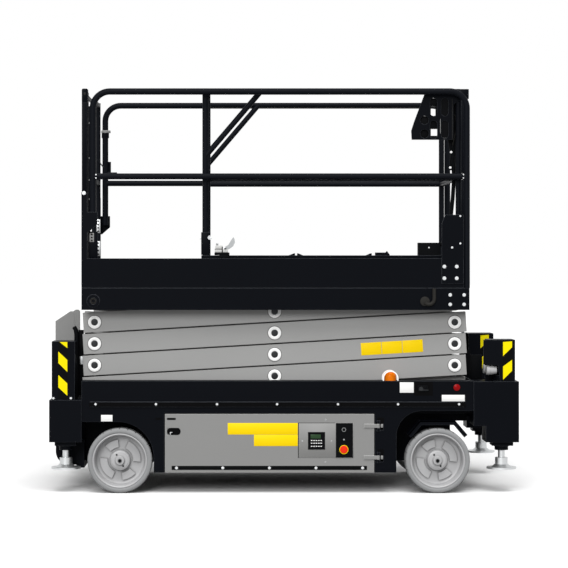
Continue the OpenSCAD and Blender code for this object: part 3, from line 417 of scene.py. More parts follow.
class LIFT_OT_wheels(bpy.types.Operator):
    """Grooved tyres and dished rims on all four corners, and the edges of the steered wheels' fenders"""
    bl_idname = "lift.wheels"
    bl_label = "Wheels"

    def execute(self, context):
        groove = context.scene.lift_finish.groove
        for end, x in WHEEL_X.items():
            for side, sign in SIDES:
                body = "wheel_%s_%s" % (end, side)
                centre, axis = (x, sign * WHEEL_Y, WHEEL_Z), (0, sign, 0)
                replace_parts(self.tyre(centre, axis, body, groove), "tyre_%s_%s" % (end, side))
                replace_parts(self.rim(centre, axis, body), "rim_%s_%s" % (end, side))
        # Top and underside of a fender's edge, as distances from the wheel's middle and heights.
        x, top, under = WHEEL_X["front"], [(0.175, 0.343), (0.105, 0.425)], [(0.094, 0.401), (0.156, 0.328)]
        outline = [(x - away, z) for away, z in top] + [(x + away, z) for away, z in reversed(top)]
        outline += [(x + away, z) for away, z in reversed(under)] + [(x - away, z) for away, z in under]
        for side, sign in SIDES:
            bm = bmesh.new()
            outline_plate(bm, outline, sign * FENDER_Y, sign * (FENDER_Y - 0.004))
            finish_piece("fender_flange_" + side, bm, "steer_" + side, "black_paint", "black_powder_coat")
        return {"FINISHED"}

    def tyre(self, centre, axis, body, groove):
        """A tyre with a groove at every tenth step; its tread is all that lies beyond the radius tread."""
        bm = bmesh.new()
        steps, every, tread = 240, 10, 0.1865
        # Half of the section, as radii and distances from the middle.
        half = [(0.1610, 0.0585), (0.1650, 0.0620), (0.1700, 0.0632), (0.1785, 0.0635), (0.1850, 0.0605),
                (0.1893, 0.0545), (0.1905, 0.0470), (0.1905, 0.0330)]
        lathe(bm, half + [(r, -h) for r, h in reversed(half)], (0, 0, 0), UP, steps)
        cuts = []
        for face in bm.faces:
            spot = face.calc_center_median()
            turn = int((math.atan2(spot.y, spot.x) % math.tau) / math.tau * steps)
            if tread < math.hypot(spot.x, spot.y) and turn % every == 0:
                cuts.append(face)
        bmesh.ops.inset_region(bm, faces=cuts, thickness=0.0010, depth=-groove)
        # The grooves' bottoms take the painted shade.
        for face in cuts:
            face.material_index = 1
        bmesh.ops.transform(bm, matrix=aim(centre, axis), verts=bm.verts)
        return finish_piece(body.replace("wheel", "tyre_tread"), bm, body, "tyre", "grey_rubber",
                            "groove_shade_rubber", crease=28)

    def rim(self, centre, axis, body):
        """A deep rim with four pockets in its dish and a hub with the spindle's end in it."""
        bm = bmesh.new()
        # The section from the bead over dish and hub to the back, as radii and distances from the middle.
        section = [
            (0.1610, 0.0585), (0.1590, 0.0612), (0.1560, 0.0620), (0.1530, 0.0605), (0.1500, 0.0560),
            (0.1480, 0.0460), (0.1462, 0.0250), (0.1446, -0.0040), (0.1420, -0.0100), (0.1360, -0.0130),
            (0.1290, -0.0138), (0.1200, -0.0140), (0.0735, -0.0100), (0.0640, -0.0095), (0.0605, -0.0070),
            (0.0590, 0.0250), (0.0560, 0.0300), (0.0480, 0.0330), (0.0470, 0.0345), (0.0290, 0.0360),
            (0.0265, 0.0400), (0.0255, 0.0510), (0.0235, 0.0535), (0.0001, 0.0535), (0.0001, 0.0525),
            (0.0228, 0.0525), (0.0228, -0.0320), (0.1470, -0.0320), (0.1470, -0.0585), (0.1610, -0.0585)]
        lathe(bm, section, (0, 0, 0), UP, 120)
        for middle, half in ((30, 35), (117, 21), (210, 35), (297, 21)):
            pocket = [f for f in bm.faces if self.in_pocket(f.calc_center_median(), middle, half)]
            bmesh.ops.inset_region(bm, faces=pocket, thickness=0.0016, depth=-0.0120)
        drum(bm, (0, 0, 0.0533), UP, 0.0120, 0.0060, 6, top=0.0112, index=1)
        # The spindle's end and two holes in the hub, as discs of painted shade.
        drum(bm, (0, 0, 0.0590), UP, 0.0055, 0.0025, 16, index=2)
        for turn in (2.1, 5.24):
            spot = (0.038 * math.cos(turn), 0.038 * math.sin(turn), 0.0345)
            drum(bm, spot, UP, 0.0052, 0.0018, 14, index=2)
        bmesh.ops.transform(bm, matrix=aim(centre, axis), verts=bm.verts)
        return finish_piece(body.replace("wheel", "rim_dish"), bm, body, "rim_paint", "cast_rim_paint",
                            "oiled_steel", "shade_and_strip_black", crease=30)

    def in_pocket(self, spot, middle, half):
        """Whether a spot of the dish lies in a pocket with this middle and half width, in degrees."""
        away = (math.degrees(math.atan2(spot.y, spot.x)) - middle + 180) % 360 - 180
        return abs(away) < half and 0.075 < math.hypot(spot.x, spot.y) < 0.120 and spot.z > -0.020


class LIFT_OT_pin_rings(bpy.types.Operator):
    """White bearing rings round the scissor's pins and dark caps on the pin ends"""
    bl_idname = "lift.pin_rings"
    bl_label = "Pin rings"

    def execute(self, context):
        outer = context.scene.lift_finish.ring
        # Sections of a bearing ring, a pin's cap and the small ring at the platform, as radii and heights.
        ring = [(0.0205, -0.001), (outer, -0.001), (outer, 0.0046), (outer - 0.0015, 0.0056),
                (0.0222, 0.0056), (0.0205, 0.0046)]
        cap = [(0.0001, 0.0002), (0.0195, 0.0002), (0.0195, 0.0012), (0.0180, 0.0020), (0.0060, 0.0012),
               (0.0001, 0.0012)]
        small = [(0.0105, 0), (0.0165, 0), (0.0165, 0.0028), (0.0150, 0.0036), (0.0120, 0.0036),
                 (0.0105, 0.0028)]
        mid, front = PIN_X + PIN_SPAN / 2, PIN_X + PIN_SPAN
        for level in range(1, 5):
            low, high = level_z(level), level_z(level + 1)
            rings, caps = bmesh.new(), bmesh.new()
            spots = [(PIN_X, low), (mid, (low + high) / 2)] + ([(front, high)] if level < 4 else [])
            ends = [(mid, (low + high) / 2)] + ([(PIN_X, high)] if level < 4 else [])
            ends += [(front, low)] if level > 1 else []
            for sign in (-1, 1):
                out = (0, sign, 0)
                for x, z in spots:
                    lathe(rings, ring, (x, sign * ARM_Y, z), out, 40)
                    # A disc of painted shadow under the ring that outlines it.
                    drum(rings, (x, sign * (ARM_Y - 0.0005), z), out, outer + 0.0026, 0.0012, 40, index=1)
                for x, z in ends:
                    lathe(caps, cap, (x, sign * PIN_END_Y, z), out, 32)
            finish_piece("bearing_rings_%d" % level, rings, "outer_%d" % level, "white_paint", "white_nylon",
                         "shade_and_strip_black")
            finish_piece("pin_caps_%d" % level, caps, "inner_%d" % level, "steel", "oiled_steel")
        foot, top_ring, top_cap = bmesh.new(), bmesh.new(), bmesh.new()
        for sign in (-1, 1):
            out = (0, sign, 0)
            lathe(foot, cap, (PIN_X, sign * PIN_END_Y, LOW_PIN_Z), out, 32)
            lathe(top_ring, small, (PIN_X, sign * (TOP_PIN_Y + 0.0015), level_z(5)), out, 32)
            lathe(top_cap, cap, (PIN_X, sign * TOP_PIN_Y, level_z(5)), out, 32)
        finish_piece("pin_caps_foot", foot, "chassis", "steel", "oiled_steel")
        finish_piece("platform_pin_rings", top_ring, "inner_4", "black_paint", "hose_rubber")
        finish_piece("platform_pin_caps", top_cap, "inner_4", "steel", "black_powder_coat")
        return {"FINISHED"}


class LIFT_OT_side_doors(bpy.types.Operator):
    """Strips, latches, bolts, blank plates and ground controls of the two side doors"""
    bl_idname = "lift.side_doors"
    bl_label = "Side doors"

    def execute(self, context):
        size = context.scene.lift_finish.bolt
        for side, sign in SIDES:
            strip, y, out = bmesh.new(), sign * DOOR_Y, (0, sign, 0)
            # Strip along the bottom.
            plate(strip, (-0.661, 0.137), (0.488, 0.161), y, 0.002, 0.0015)
            # Latch opening and the slot above it, as plates of painted shade, and the latch's hooked tongue.
            plate(strip, (-0.688, 0.342), (-0.608, 0.384), y, 0.001, 0, 2, 0.0205)
            plate(strip, (-0.689, 0.431), (-0.636, 0.443), y, 0.001, 0, 2, 0.0055)
            plate(strip, (-0.671, 0.344), (-0.666, 0.360), y, 0.002, 0.001, 1)
            plate(strip, (-0.671, 0.356), (-0.656, 0.360), y, 0.002, 0.001, 1)
            # The strip's bolts, and screws by the ground panel with painted shade in their middles.
            for x in (-0.632, -0.360, -0.086, 0.188, 0.462):
                bolt(strip, (x, sign * (DOOR_Y + 0.0015), 0.149), out, size * 0.75, 1)
            for x, z in ((0.245, 0.433), (0.243, 0.184), (0.108, 0.307), (0.279, 0.307)):
                drum(strip, (x, sign * (DOOR_Y + 0.0012), z), out, 0.0042, 0.0016, 12, index=1)
                drum(strip, (x, sign * (DOOR_Y + 0.0028), z), out, 0.0022, 0.0004, 10, index=2)
            body = "door_" + side
            finish_piece("door_trim_" + side, strip, body, "black_paint", "black_film", "zinc_plated_steel",
                         "shade_and_strip_black")
        self.ground_panel()
        plates = bmesh.new()
        for low, high in (((-0.331, 0.345), (0.081, 0.413)), ((-0.177, 0.277), (0.081, 0.344))):
            label(plates, low, high, -DOOR_Y)
        finish_piece("door_blank_plates", plates, "door_near", "white_paint", "amber_film")
        return {"FINISHED"}

    def ground_panel(self):
        """The panel's plate and seams, a display with keys, a key switch, a lamp and the stop button."""
        bm, out = bmesh.new(), NEAR
        slab(bm, (0.084, -DOOR_Y - 0.0016, 0.209), (0.409, -DOOR_Y, 0.414), 0.0008, 0)
        slab(bm, (0.0825, -DOOR_Y - 0.0020, 0.209), (0.0865, -DOOR_Y, 0.414), 0, 2)
        slab(bm, (0.084, -DOOR_Y - 0.0020, 0.4125), (0.302, -DOOR_Y, 0.4145), 0, 2)
        label(bm, (0.156, 0.322), (0.216, 0.346), -PANEL_Y, 1)
        for x in (0.158, 0.172, 0.186, 0.200, 0.214):
            for z in (0.274, 0.292, 0.308):
                slab(bm, (x, -PANEL_Y - 0.0010, z), (x + 0.009, -PANEL_Y, z + 0.0045), 0.0003, 3)
        # The controls stand in one column.
        x = 0.352
        drum(bm, (x, -PANEL_Y, 0.374), out, 0.0120, 0.0012, 28, index=4)
        drum(bm, (x, -PANEL_Y - 0.0006, 0.374), out, 0.0098, 0.0022, 20, index=2)
        slab(bm, (x - 0.002, -PANEL_Y - 0.0026, 0.366), (x + 0.002, -PANEL_Y, 0.382), 0.0005, 4)
        drum(bm, (x, -PANEL_Y, 0.316), out, 0.0085, 0.0012, 16, index=2)
        drum(bm, (x, -PANEL_Y, 0.316), out, 0.0046, 0.0028, 12, index=4)
        drum(bm, (x, -PANEL_Y, 0.257), out, 0.0262, 0.0010, 36, index=5)
        drum(bm, (x, -PANEL_Y - 0.0008, 0.257), out, 0.0242, 0.0021, 36, top=0.0205, edge=0.0005, index=6)
        finish_piece("ground_panel_details", bm, "door_near", "dark_plastic", "shaded_grey_coat",
                     "green_display", "black_film", "white_nylon", "bare_aluminium", "yellow_film",
                     "red_plastic")


class LIFT_OT_chassis_trim(bpy.types.Operator):
    """Bolts, hinge leaves, blank labels, lamps and sockets of the chassis"""
    bl_idname = "lift.chassis_trim"
    bl_label = "Chassis trim"

    def execute(self, context):
        size = context.scene.lift_finish.bolt
        bm = bmesh.new()
        for sign in (-1, 1):
            # Diamond heads on the rub strip and round ones on the jack boxes.
            for x in (-1.108, -0.753, -0.394, -0.041, 0.317, 0.670, 1.029):
                drum(bm, (x, sign * RUB_Y, 0.524), (0, sign, 0), size, 0.0018, 4)
            for x in (-1.36, -1.215, 1.205, 1.36):
                drum(bm, (x, sign * 0.5985, 0.316), (0, sign, 0), size * 0.6, 0.0013, 14)
        finish_piece("chassis_bolts", bm, "chassis", "steel", "zinc_plated_steel")
        leaves = bmesh.new()
        for sign in (-1, 1):
            y = sign * SIDE_Y
            # Slot by the door's latch, as a plate of painted shade.
            plate(leaves, (-0.756, 0.431), (-0.718, 0.444), y, 0.0006, 0, 1, 0.006)
            # Hinge leaves, each with a pocket above it drawn as a plate of painted shade.
            for z in (0.210, 0.396):
                plate(leaves, (0.5690, z - 0.0105), (0.5825, z + 0.0105), y, 0.0020, 0.001)
                plate(leaves, (0.5490, z + 0.0150), (0.5880, z + 0.0480), y, 0.0006, 0, 1)
            # Dark face of the rub strip.
            plate(leaves, (-1.146, 0.509), (1.068, 0.534), sign * RUB_Y, 0.0004, 0, 1, 0.008)
        finish_piece("hinge_leaves", leaves, "chassis", "grey_paint", "shaded_grey_coat", "shade_and_strip_black")
        labels = bmesh.new()
        for low, high in (((-1.076, 0.422), (-1.009, 0.460)), ((0.681, 0.591), (0.763, 0.652)),
                          ((0.928, 0.540), (1.063, 0.578))):
            label(labels, low, high, -SIDE_Y)
        finish_piece("blank_labels", labels, "chassis", "white_paint", "white_film")
        lamp = bmesh.new()
        # Sections of the red lamp's seat and dome, as radii and heights.
        seat = [(0.0001, 0.0), (0.0235, 0.0), (0.0235, 0.0028), (0.0215, 0.0036), (0.0001, 0.0036)]
        dome = [(0.0001, 0.0030), (0.0200, 0.0030), (0.0190, 0.0052), (0.0120, 0.0078), (0.0001, 0.0088)]
        for sign in (-1, 1):
            y, out = sign * SIDE_Y, (0, sign, 0)
            for index, section in enumerate((seat, dome)):
                lathe(lamp, section, (1.016, y, 0.622), out, 32, index)
            # Recess as a plate of painted shade, with the socket's block, cap and lever.
            plate(lamp, (0.765, 0.574), (0.876, 0.655), y, 0.001, 0, 2)
            plate(lamp, (0.786, 0.596), (0.846, 0.634), y, 0.005, 0.003, 0)
            drum(lamp, (0.806, sign * (SIDE_Y + 0.005), 0.614), out, 0.012, 0.0024, 20, index=3)
            plate(lamp, (0.792, 0.604), (0.850, 0.609), y, 0.0065, 0.001, 3)
        finish_piece("side_lamps_and_sockets", lamp, "chassis", "dark_plastic", "black_abs", "red_lens",
                     "shade_and_strip_black", "oiled_steel")
        return {"FINISHED"}


class LIFT_OT_chevrons(bpy.types.Operator):
    """Warning stripes on the jack covers"""
    bl_idname = "lift.chevrons"
    bl_label = "Chevrons"

    def execute(self, context):
        rear = [[(-1.320, 0.889), (-1.275, 0.889), (-1.275, 0.853)],
                [(-1.328, 0.833), (-1.275, 0.783), (-1.275, 0.713), (-1.328, 0.765)],
                [(-1.328, 0.695), (-1.275, 0.645), (-1.275, 0.573), (-1.328, 0.622)]]
        front = [[(1.289, 0.889), (1.342, 0.893), (1.342, 0.858), (1.289, 0.807)],
                 [(1.289, 0.745), (1.342, 0.784), (1.342, 0.720), (1.289, 0.667)]]
        inner = [[(x - 0.012, z) for x, z in stripe] for stripe in front]
        bm = bmesh.new()
        for sign in (-1, 1):
            outer_y, inner_y = sign * COVER_Y, sign * COVER_INNER_Y
            self.band(bm, -1.329, 0.552, 0.889, rear, outer_y, sign)
            self.band(bm, 1.288, 0.661, 0.899, front, outer_y, sign)
            self.band(bm, 1.276, 0.661, 0.899, inner, inner_y, -sign)
        finish_piece("warning_stripes", bm, "chassis", "white_paint", "yellow_film", "black_film")
        return {"FINISHED"}

    def band(self, bm, x, low_z, high_z, stripes, y, out):
        """A black band 55 mm wide with yellow stripes on it."""
        film = y + out * 0.0004
        slab(bm, (x, min(y, film), low_z), (x + 0.055, max(y, film), high_z), 0, 1)
        for stripe in stripes:
            outline_plate(bm, stripe, y, y + out * 0.0009, 0)


class LIFT_OT_arm_plates(bpy.types.Operator):
    """Blank plates on the second pair of outer arms"""
    bl_idname = "lift.arm_plates"
    bl_label = "Arm plates"

    def execute(self, context):
        bm = bmesh.new()
        tilt = math.atan2(LEVEL_RISE, PIN_SPAN)
        x = 0.644
        for sign in (-1, 1):
            spot = Vector((x, sign * (ARM_Y + 0.0004), level_z(2) + (x - PIN_X) * math.tan(tilt)))
            turn = Matrix.Translation(spot) @ Matrix.Rotation(-tilt, 4, "Y")
            for step in range(3):
                left = -0.184 + step * 0.1235
                slab(bm, (left, -0.0005, -0.037), (left + 0.121, 0.0005, 0.037), 0.0002, 0, turn)
        finish_piece("arm_blank_plates", bm, "outer_2", "white_paint", "amber_film")
        return {"FINISHED"}


class LIFT_OT_platform_trim(bpy.types.Operator):
    """Bolts, hose, post fittings, deck lock, grip mat and sliding deck trim of the platform"""
    bl_idname = "lift.platform_trim"
    bl_label = "Platform trim"

    def execute(self, context):
        self.bolts(context.scene.lift_finish.bolt)
        self.hooked_hose()
        self.corner_posts()
        self.lock()
        self.grip_mat()
        self.sliding_deck()
        return {"FINISHED"}

    def bolts(self, size):
        """Bolts of the corner plate, the sides, the rear posts and the mid rails."""
        bm = bmesh.new()
        for x in (0.944, 1.017):
            for z in (1.264, 1.333):
                bolt(bm, (x, -PLATE_Y, z), NEAR, size * 0.95)
        for x, z, scale in ((0.990, 1.445, 0.55), (1.038, 1.630, 0.5), (1.038, 1.469, 0.5)):
            bolt(bm, (x, -PLATE_Y, z), NEAR, size * scale)
        for sign in (-1, 1):
            for x in (0.979, 1.061):
                for z in (1.110, 1.166):
                    bolt(bm, (x, sign * DECK_Y, z), (0, sign, 0), size * 0.9)
            bolt(bm, (-1.178, sign * DECK_Y, 1.766), (0, sign, 0), size)
            for x in (-1.108, 1.058):
                for z in (1.855, 1.875):
                    drum(bm, (x, sign * 0.5635, z), (0, sign, 0), 0.0040, 0.0040, 12)
        bolt(bm, (-1.178, 0.5690, 1.766), NEAR, size * 0.9)
        finish_piece("platform_bolts", bm, "platform", "steel", "zinc_plated_steel")

    def hooked_hose(self):
        """A hose that hangs down the platform's side and hooks into a round boss."""
        pipe = bmesh.new()
        path = [(0.884, -0.586, 1.204), (0.884, -0.586, 1.170)]
        path += [(0.852 + 0.032 * math.cos(turn), -0.586, 1.142 - 0.032 * math.sin(turn))
                 for turn in [0.2 * step for step in range(13)]]
        hose(pipe, path, 0.011, 12)
        drum(pipe, (0.830, -0.577, 1.128), NEAR, 0.028, 0.006, 28, edge=0.001)
        finish_piece("platform_hose", pipe, "platform", "dark_plastic", "hose_rubber")

    def corner_posts(self):
        """Clamp, sleeves, cable, perforated plates, stiffener and conduit at the platform's corner posts."""
        bm = bmesh.new()
        # Clamp, sleeve and cable of the far rear post.
        slab(bm, (-1.153, 0.528, 2.190), (-1.095, 0.572, 2.206), 0.002, 3)
        tube(bm, (0.0192, 0.0240), (2.157, 2.190), (-1.128, 0.5497, 0), UP, 28)
        slab(bm, (-1.118, 0.540, 1.926), (-1.053, 0.560, 1.936), 0.001)
        tube(bm, (0.0050, 0.0095), (1.936, 2.004), (-1.101, 0.550, 0), UP, 20)
        hose(bm, [(-1.180, 0.520, 2.018), (-1.158, 0.528, 1.992), (-1.135, 0.536, 1.962),
                  (-1.112, 0.545, 1.932)], 0.0038, 8)
        # Perforated plates on the far post, their holes as discs of painted shade.
        for low_z, high_z in ((1.545, 1.632), (1.396, 1.492)):
            slab(bm, (-1.186, 0.5195, low_z), (-1.158, 0.5240, high_z), 0.001, 1)
            for step in range(4):
                z = low_z + (high_z - low_z) * (step + 0.5) / 4
                drum(bm, (-1.172, 0.5195, z), NEAR, 0.0055, 0.0020, 12, index=2)
        # Gusset, perforated plate with holes of painted shade, stiffener with rivets and sleeves of the near
        # rear post.
        slab(bm, (-1.152, -0.5450, 1.376), (-1.098, -0.5400, 1.540), 0.001)
        slab(bm, (-1.147, -0.5475, 1.478), (-1.121, -0.5445, 1.531), 0.001, 3)
        for step in range(3):
            drum(bm, (-1.134, -0.5475, 1.487 + step * 0.0175), NEAR, 0.0055, 0.0015, 12, index=2)
        slab(bm, (-1.153, -0.5450, 1.540), (-1.142, -0.5400, 2.280), 0.001)
        for z in (1.731, 1.843, 1.973, 2.180):
            drum(bm, (-1.1475, -0.5450, z), NEAR, 0.0045, 0.0030, 12, edge=0.001, index=3)
        slab(bm, (-1.1925, -0.5560, 1.772), (-1.1640, -0.5240, 2.310), 0.003)
        slab(bm, (-1.1925, -0.5580, 2.300), (-1.1560, -0.5220, 2.383), 0.002, corner=0.010)
        drum(bm, (-1.1740, -0.5580, 2.352), NEAR, 0.0065, 0.0020, 18, edge=0.001, index=4)
        # Conduit along the near front post.
        for low_z, high_z in ((1.636, 1.846), (1.884, 2.312)):
            slab(bm, (1.0440, -0.5620, low_z), (1.0620, -0.5360, high_z), 0.004)
        finish_piece("corner_post_fittings", bm, "platform", "steel", "black_powder_coat",
                     "zinc_plated_steel", "shade_and_strip_black", "shaded_grey_coat", "hose_rubber")

    def lock(self):
        """The deck lock: black foot, white housing with a bolt, and a leaf-shaped lever."""
        bm = bmesh.new()
        slab(bm, (-0.410, -0.5280, 1.400), (-0.321, -0.5040, 1.416), 0.002, 0)
        slab(bm, (-0.382, -0.5280, 1.380), (-0.321, -0.5200, 1.401), 0.001, 0)
        slab(bm, (-0.408, -0.5270, 1.416), (-0.330, -0.5060, 1.436), 0.003, 1)
        slab(bm, (-0.404, -0.5260, 1.434), (-0.362, -0.5070, 1.458), 0.004, 1)
        drum(bm, (-0.394, -0.5165, 1.456), UP, 0.0065, 0.014, 16, edge=0.001, index=2)
        # Slots in the housing, as plates of painted shade.
        slab(bm, (-0.3665, -0.5285, 1.417), (-0.3605, -0.5040, 1.450), 0, 3)
        slab(bm, (-0.4085, -0.5275, 1.4340), (-0.3660, -0.5055, 1.4375), 0, 3)
        drum(bm, (-0.3460, -0.5270, 1.4400), NEAR, 0.0080, 0.0020, 18, edge=0.0006, index=2)
        # The bolt's middle, as a disc of painted shade.
        drum(bm, (-0.3460, -0.5288, 1.4400), NEAR, 0.0042, 0.0008, 14, index=3)
        lever = [(-0.352, 1.430), (-0.322, 1.436), (-0.300, 1.452), (-0.289, 1.474), (-0.291, 1.494),
                 (-0.298, 1.507), (-0.312, 1.488), (-0.327, 1.462), (-0.352, 1.446)]
        outline_plate(bm, lever, -0.5190, -0.5130, 2)
        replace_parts(finish_piece("lock_lever", bm, "extension", "white_paint", "black_abs", "white_enamel",
                                 "bare_aluminium", "shade_and_strip_black"), "deck_lock")

    def grip_mat(self):
        """The studded mat on the sliding deck: a grid of squares 26 mm wide with every second one raised."""
        bm, square = bmesh.new(), 0.026
        place = Matrix.Translation((0.292, 0, 1.2232)) @ Matrix.Diagonal((0.767, 0.507, 1.0, 1.0))
        bmesh.ops.create_grid(bm, x_segments=59, y_segments=39, size=1.0, matrix=place)
        studs = [f for f in bm.faces
                 if round(f.calc_center_median().x / square + f.calc_center_median().y / square) % 2]
        bmesh.ops.inset_individual(bm, faces=studs, thickness=0.0040, depth=0.0014)
        bmesh.ops.solidify(bm, geom=bm.faces, thickness=0.0009)
        finish_piece("grip_mat", bm, "extension", "deck_paint", "grit_deck_coat")

    def sliding_deck(self):
        """Stops on the sliding deck's toe board, stiffeners of its rails and the clamp at a post's foot."""
        bm = bmesh.new()
        for outline in ([(0.023, 1.397), (0.060, 1.411), (0.067, 1.411), (0.067, 1.397)],
                        [(0.079, 1.397), (0.079, 1.411), (0.086, 1.411), (0.120, 1.397)],
                        [(0.480, 1.397), (0.512, 1.411), (0.521, 1.411), (0.521, 1.397)],
                        [(0.540, 1.397), (0.540, 1.416), (0.603, 1.416), (0.610, 1.426), (0.627, 1.404),
                         (0.627, 1.397)]):
            outline_plate(bm, outline, -0.5195, -0.5145)
        slab(bm, (-0.4500, -0.5100, 1.400), (-0.4340, -0.4840, 2.360), 0.002)
        slab(bm, (0.8520, -0.5120, 2.3600), (1.0450, -0.4840, 2.3845), 0.002)
        slab(bm, (1.0400, -0.5130, 2.3250), (1.0965, -0.4800, 2.3840), 0.004)
        drum(bm, (0.8590, -0.5200, 1.4450), NEAR, 0.0045, 0.0020, 12, index=1)
        # Clamp with its pin and ring.
        slab(bm, (-0.4890, -0.5145, 1.402), (-0.4335, -0.4800, 1.536), 0.002)
        drum(bm, (-0.498, -0.497, 1.500), (1, 0, 0), 0.0045, 0.072, 12, index=1)
        tube(bm, (0.0085, 0.0120), (-0.0015, 0.0015), (-0.438, -0.5145, 1.504), NEAR, 20, 1)
        drum(bm, (-0.438, -0.512, 1.504), NEAR, 0.0070, 0.0050, 16, index=1)
        finish_piece("sliding_deck_trim", bm, "extension", "black_paint", "black_powder_coat",
                     "zinc_plated_steel")


class LIFT_OT_controls(bpy.types.Operator):
    """Joystick, buttons, housing, duct and cables of the platform's control box"""
    bl_idname = "lift.controls"
    bl_label = "Platform controls"

    def execute(self, context):
        bm = bmesh.new()
        # Face plate towards the deck with joystick, stop button and push buttons.
        face, left, low, out = CONTROL_Y, 0.920, 2.096, (0, 1, 0)
        slab(bm, (left + 0.006, face, low + 0.010), (left + 0.082, face + 0.003, low + 0.224), 0.0015, 1)
        x, z = left + 0.030, low + 0.160
        drum(bm, (x, face + 0.003, z), out, 0.020, 0.012, 28, top=0.013, index=0)
        drum(bm, (x, face + 0.014, z), out, 0.008, 0.046, 20, top=0.012, edge=0.003)
        x, z = left + 0.064, low + 0.190
        drum(bm, (x, face + 0.003, z), out, 0.016, 0.005, 28, index=2)
        drum(bm, (x, face + 0.008, z), out, 0.0125, 0.014, 28, top=0.011, edge=0.003, index=3)
        for x in (0.020, 0.044, 0.068):
            for z in (0.050, 0.085):
                drum(bm, (left + x, face + 0.003, low + z), out, 0.008, 0.005, 20, edge=0.001, index=1)
        # Housing blocks behind the bracket's windows and the bracket's folds, as corners in X and Z.
        for corners in (((0.800, 2.150), (0.921, 2.224)), ((0.806, 2.092), (0.860, 2.152)),
                        ((0.862, 2.284), (0.921, 2.330))):
            plate(bm, *corners, -0.4775, 0.0275, 0.003)
        for corners in (((0.858, 2.090), (0.871, 2.290)), ((0.8985, 2.218), (0.912, 2.284)),
                        ((0.858, 2.086), (0.912, 2.107))):
            plate(bm, *corners, -0.5105, 0.0025, 0.001)
        # Duct down the post, two seams and a round boss.
        slab(bm, (0.9900, -0.4560, 1.905), (1.0260, -0.4480, 2.330), 0.002, 0)
        slab(bm, (0.9960, -0.5196, 2.086), (0.9985, -0.5180, 2.325), 0, 5)
        slab(bm, (0.9255, -0.5196, 2.120), (0.9280, -0.5180, 2.205), 0, 6)
        tube(bm, (0.0150, 0.0190), (0.0, 0.0030), (0.833, -0.5050, 2.119), NEAR, 24)
        # Cables to the box, with two clips.
        thick = [(0.985, -0.462, 2.100), (1.000, -0.462, 2.020), (1.010, -0.462, 1.940),
                 (1.013, -0.462, 1.850), (1.006, -0.462, 1.740), (0.996, -0.462, 1.640),
                 (0.980, -0.464, 1.540), (0.955, -0.472, 1.475), (0.915, -0.480, 1.455)]
        thin = [(1.006, -0.470, 2.235), (1.018, -0.462, 2.232), (1.030, -0.464, 2.160),
                (1.012, -0.460, 2.090), (0.996, -0.459, 2.010), (1.016, -0.461, 1.950),
                (1.028, -0.464, 1.900)]
        hose(bm, thick, 0.0120, 12, 0)
        hose(bm, thin, 0.0040, 8, 5)
        for x, z in ((0.995, 2.012), (0.990, 1.920)):
            drum(bm, (x, -0.4700, z), NEAR, 0.0075, 0.0100, 14, edge=0.001, index=4)
        finish_piece("control_details", bm, "extension", "dark_plastic", "black_abs", "black_film",
                     "yellow_film", "red_plastic", "white_nylon", "hose_rubber", "shaded_grey_coat")
        return {"FINISHED"}


class LIFT_OT_jack_details(bpy.types.Operator):
    """Hydraulic heads, guard plates, hoses and bolts at the jack covers"""
    bl_idname = "lift.jack_details"
    bl_label = "Jack details"

    def execute(self, context):
        size = context.scene.lift_finish.bolt
        bm = bmesh.new()
        for sign in (-1, 1):
            # Two heads at each front cover.
            for y in (0.553, 0.400):
                lathe(bm, [(0.0001, 0), (0.0255, 0), (0.0290, 0.0040), (0.0282, 0.0200), (0.0265, 0.0215),
                           (0.0265, 0.0250), (0.0276, 0.0270), (0.0220, 0.0600), (0.0001, 0.0640)],
                      (1.194, sign * y, 0.722), (1, 0, 0), 32)
            # Guard plates behind the covers, with a clip at the rear.
            plate(bm, (-1.222, 0.565), (-1.190, 0.955), sign * 0.4250, 0.0050, 0.001, 2)
            plate(bm, (1.130, 0.640), (1.200, 0.800), sign * 0.3050, 0.0040, 0.001, 2)
            plate(bm, (-1.213, 0.750), (-1.193, 0.797), sign * 0.4320, 0.0025, 0.001, 1)
            hose(bm, [(-1.232, sign * 0.450, z) for z in (0.552, 0.70, 0.84, 0.93)] +
                 [(-1.236, sign * 0.450, 0.955), (-1.246, sign * 0.446, 0.972)], 0.0135, 14, 2)
            for x in (-1.357, -1.254):
                bolt(bm, (x, sign * COVER_Y, 0.558), (0, sign, 0), size * 0.6, 1)
        finish_piece("jack_heads", bm, "chassis", "steel", "cast_rim_paint", "zinc_plated_steel", "black_abs")
        return {"FINISHED"}


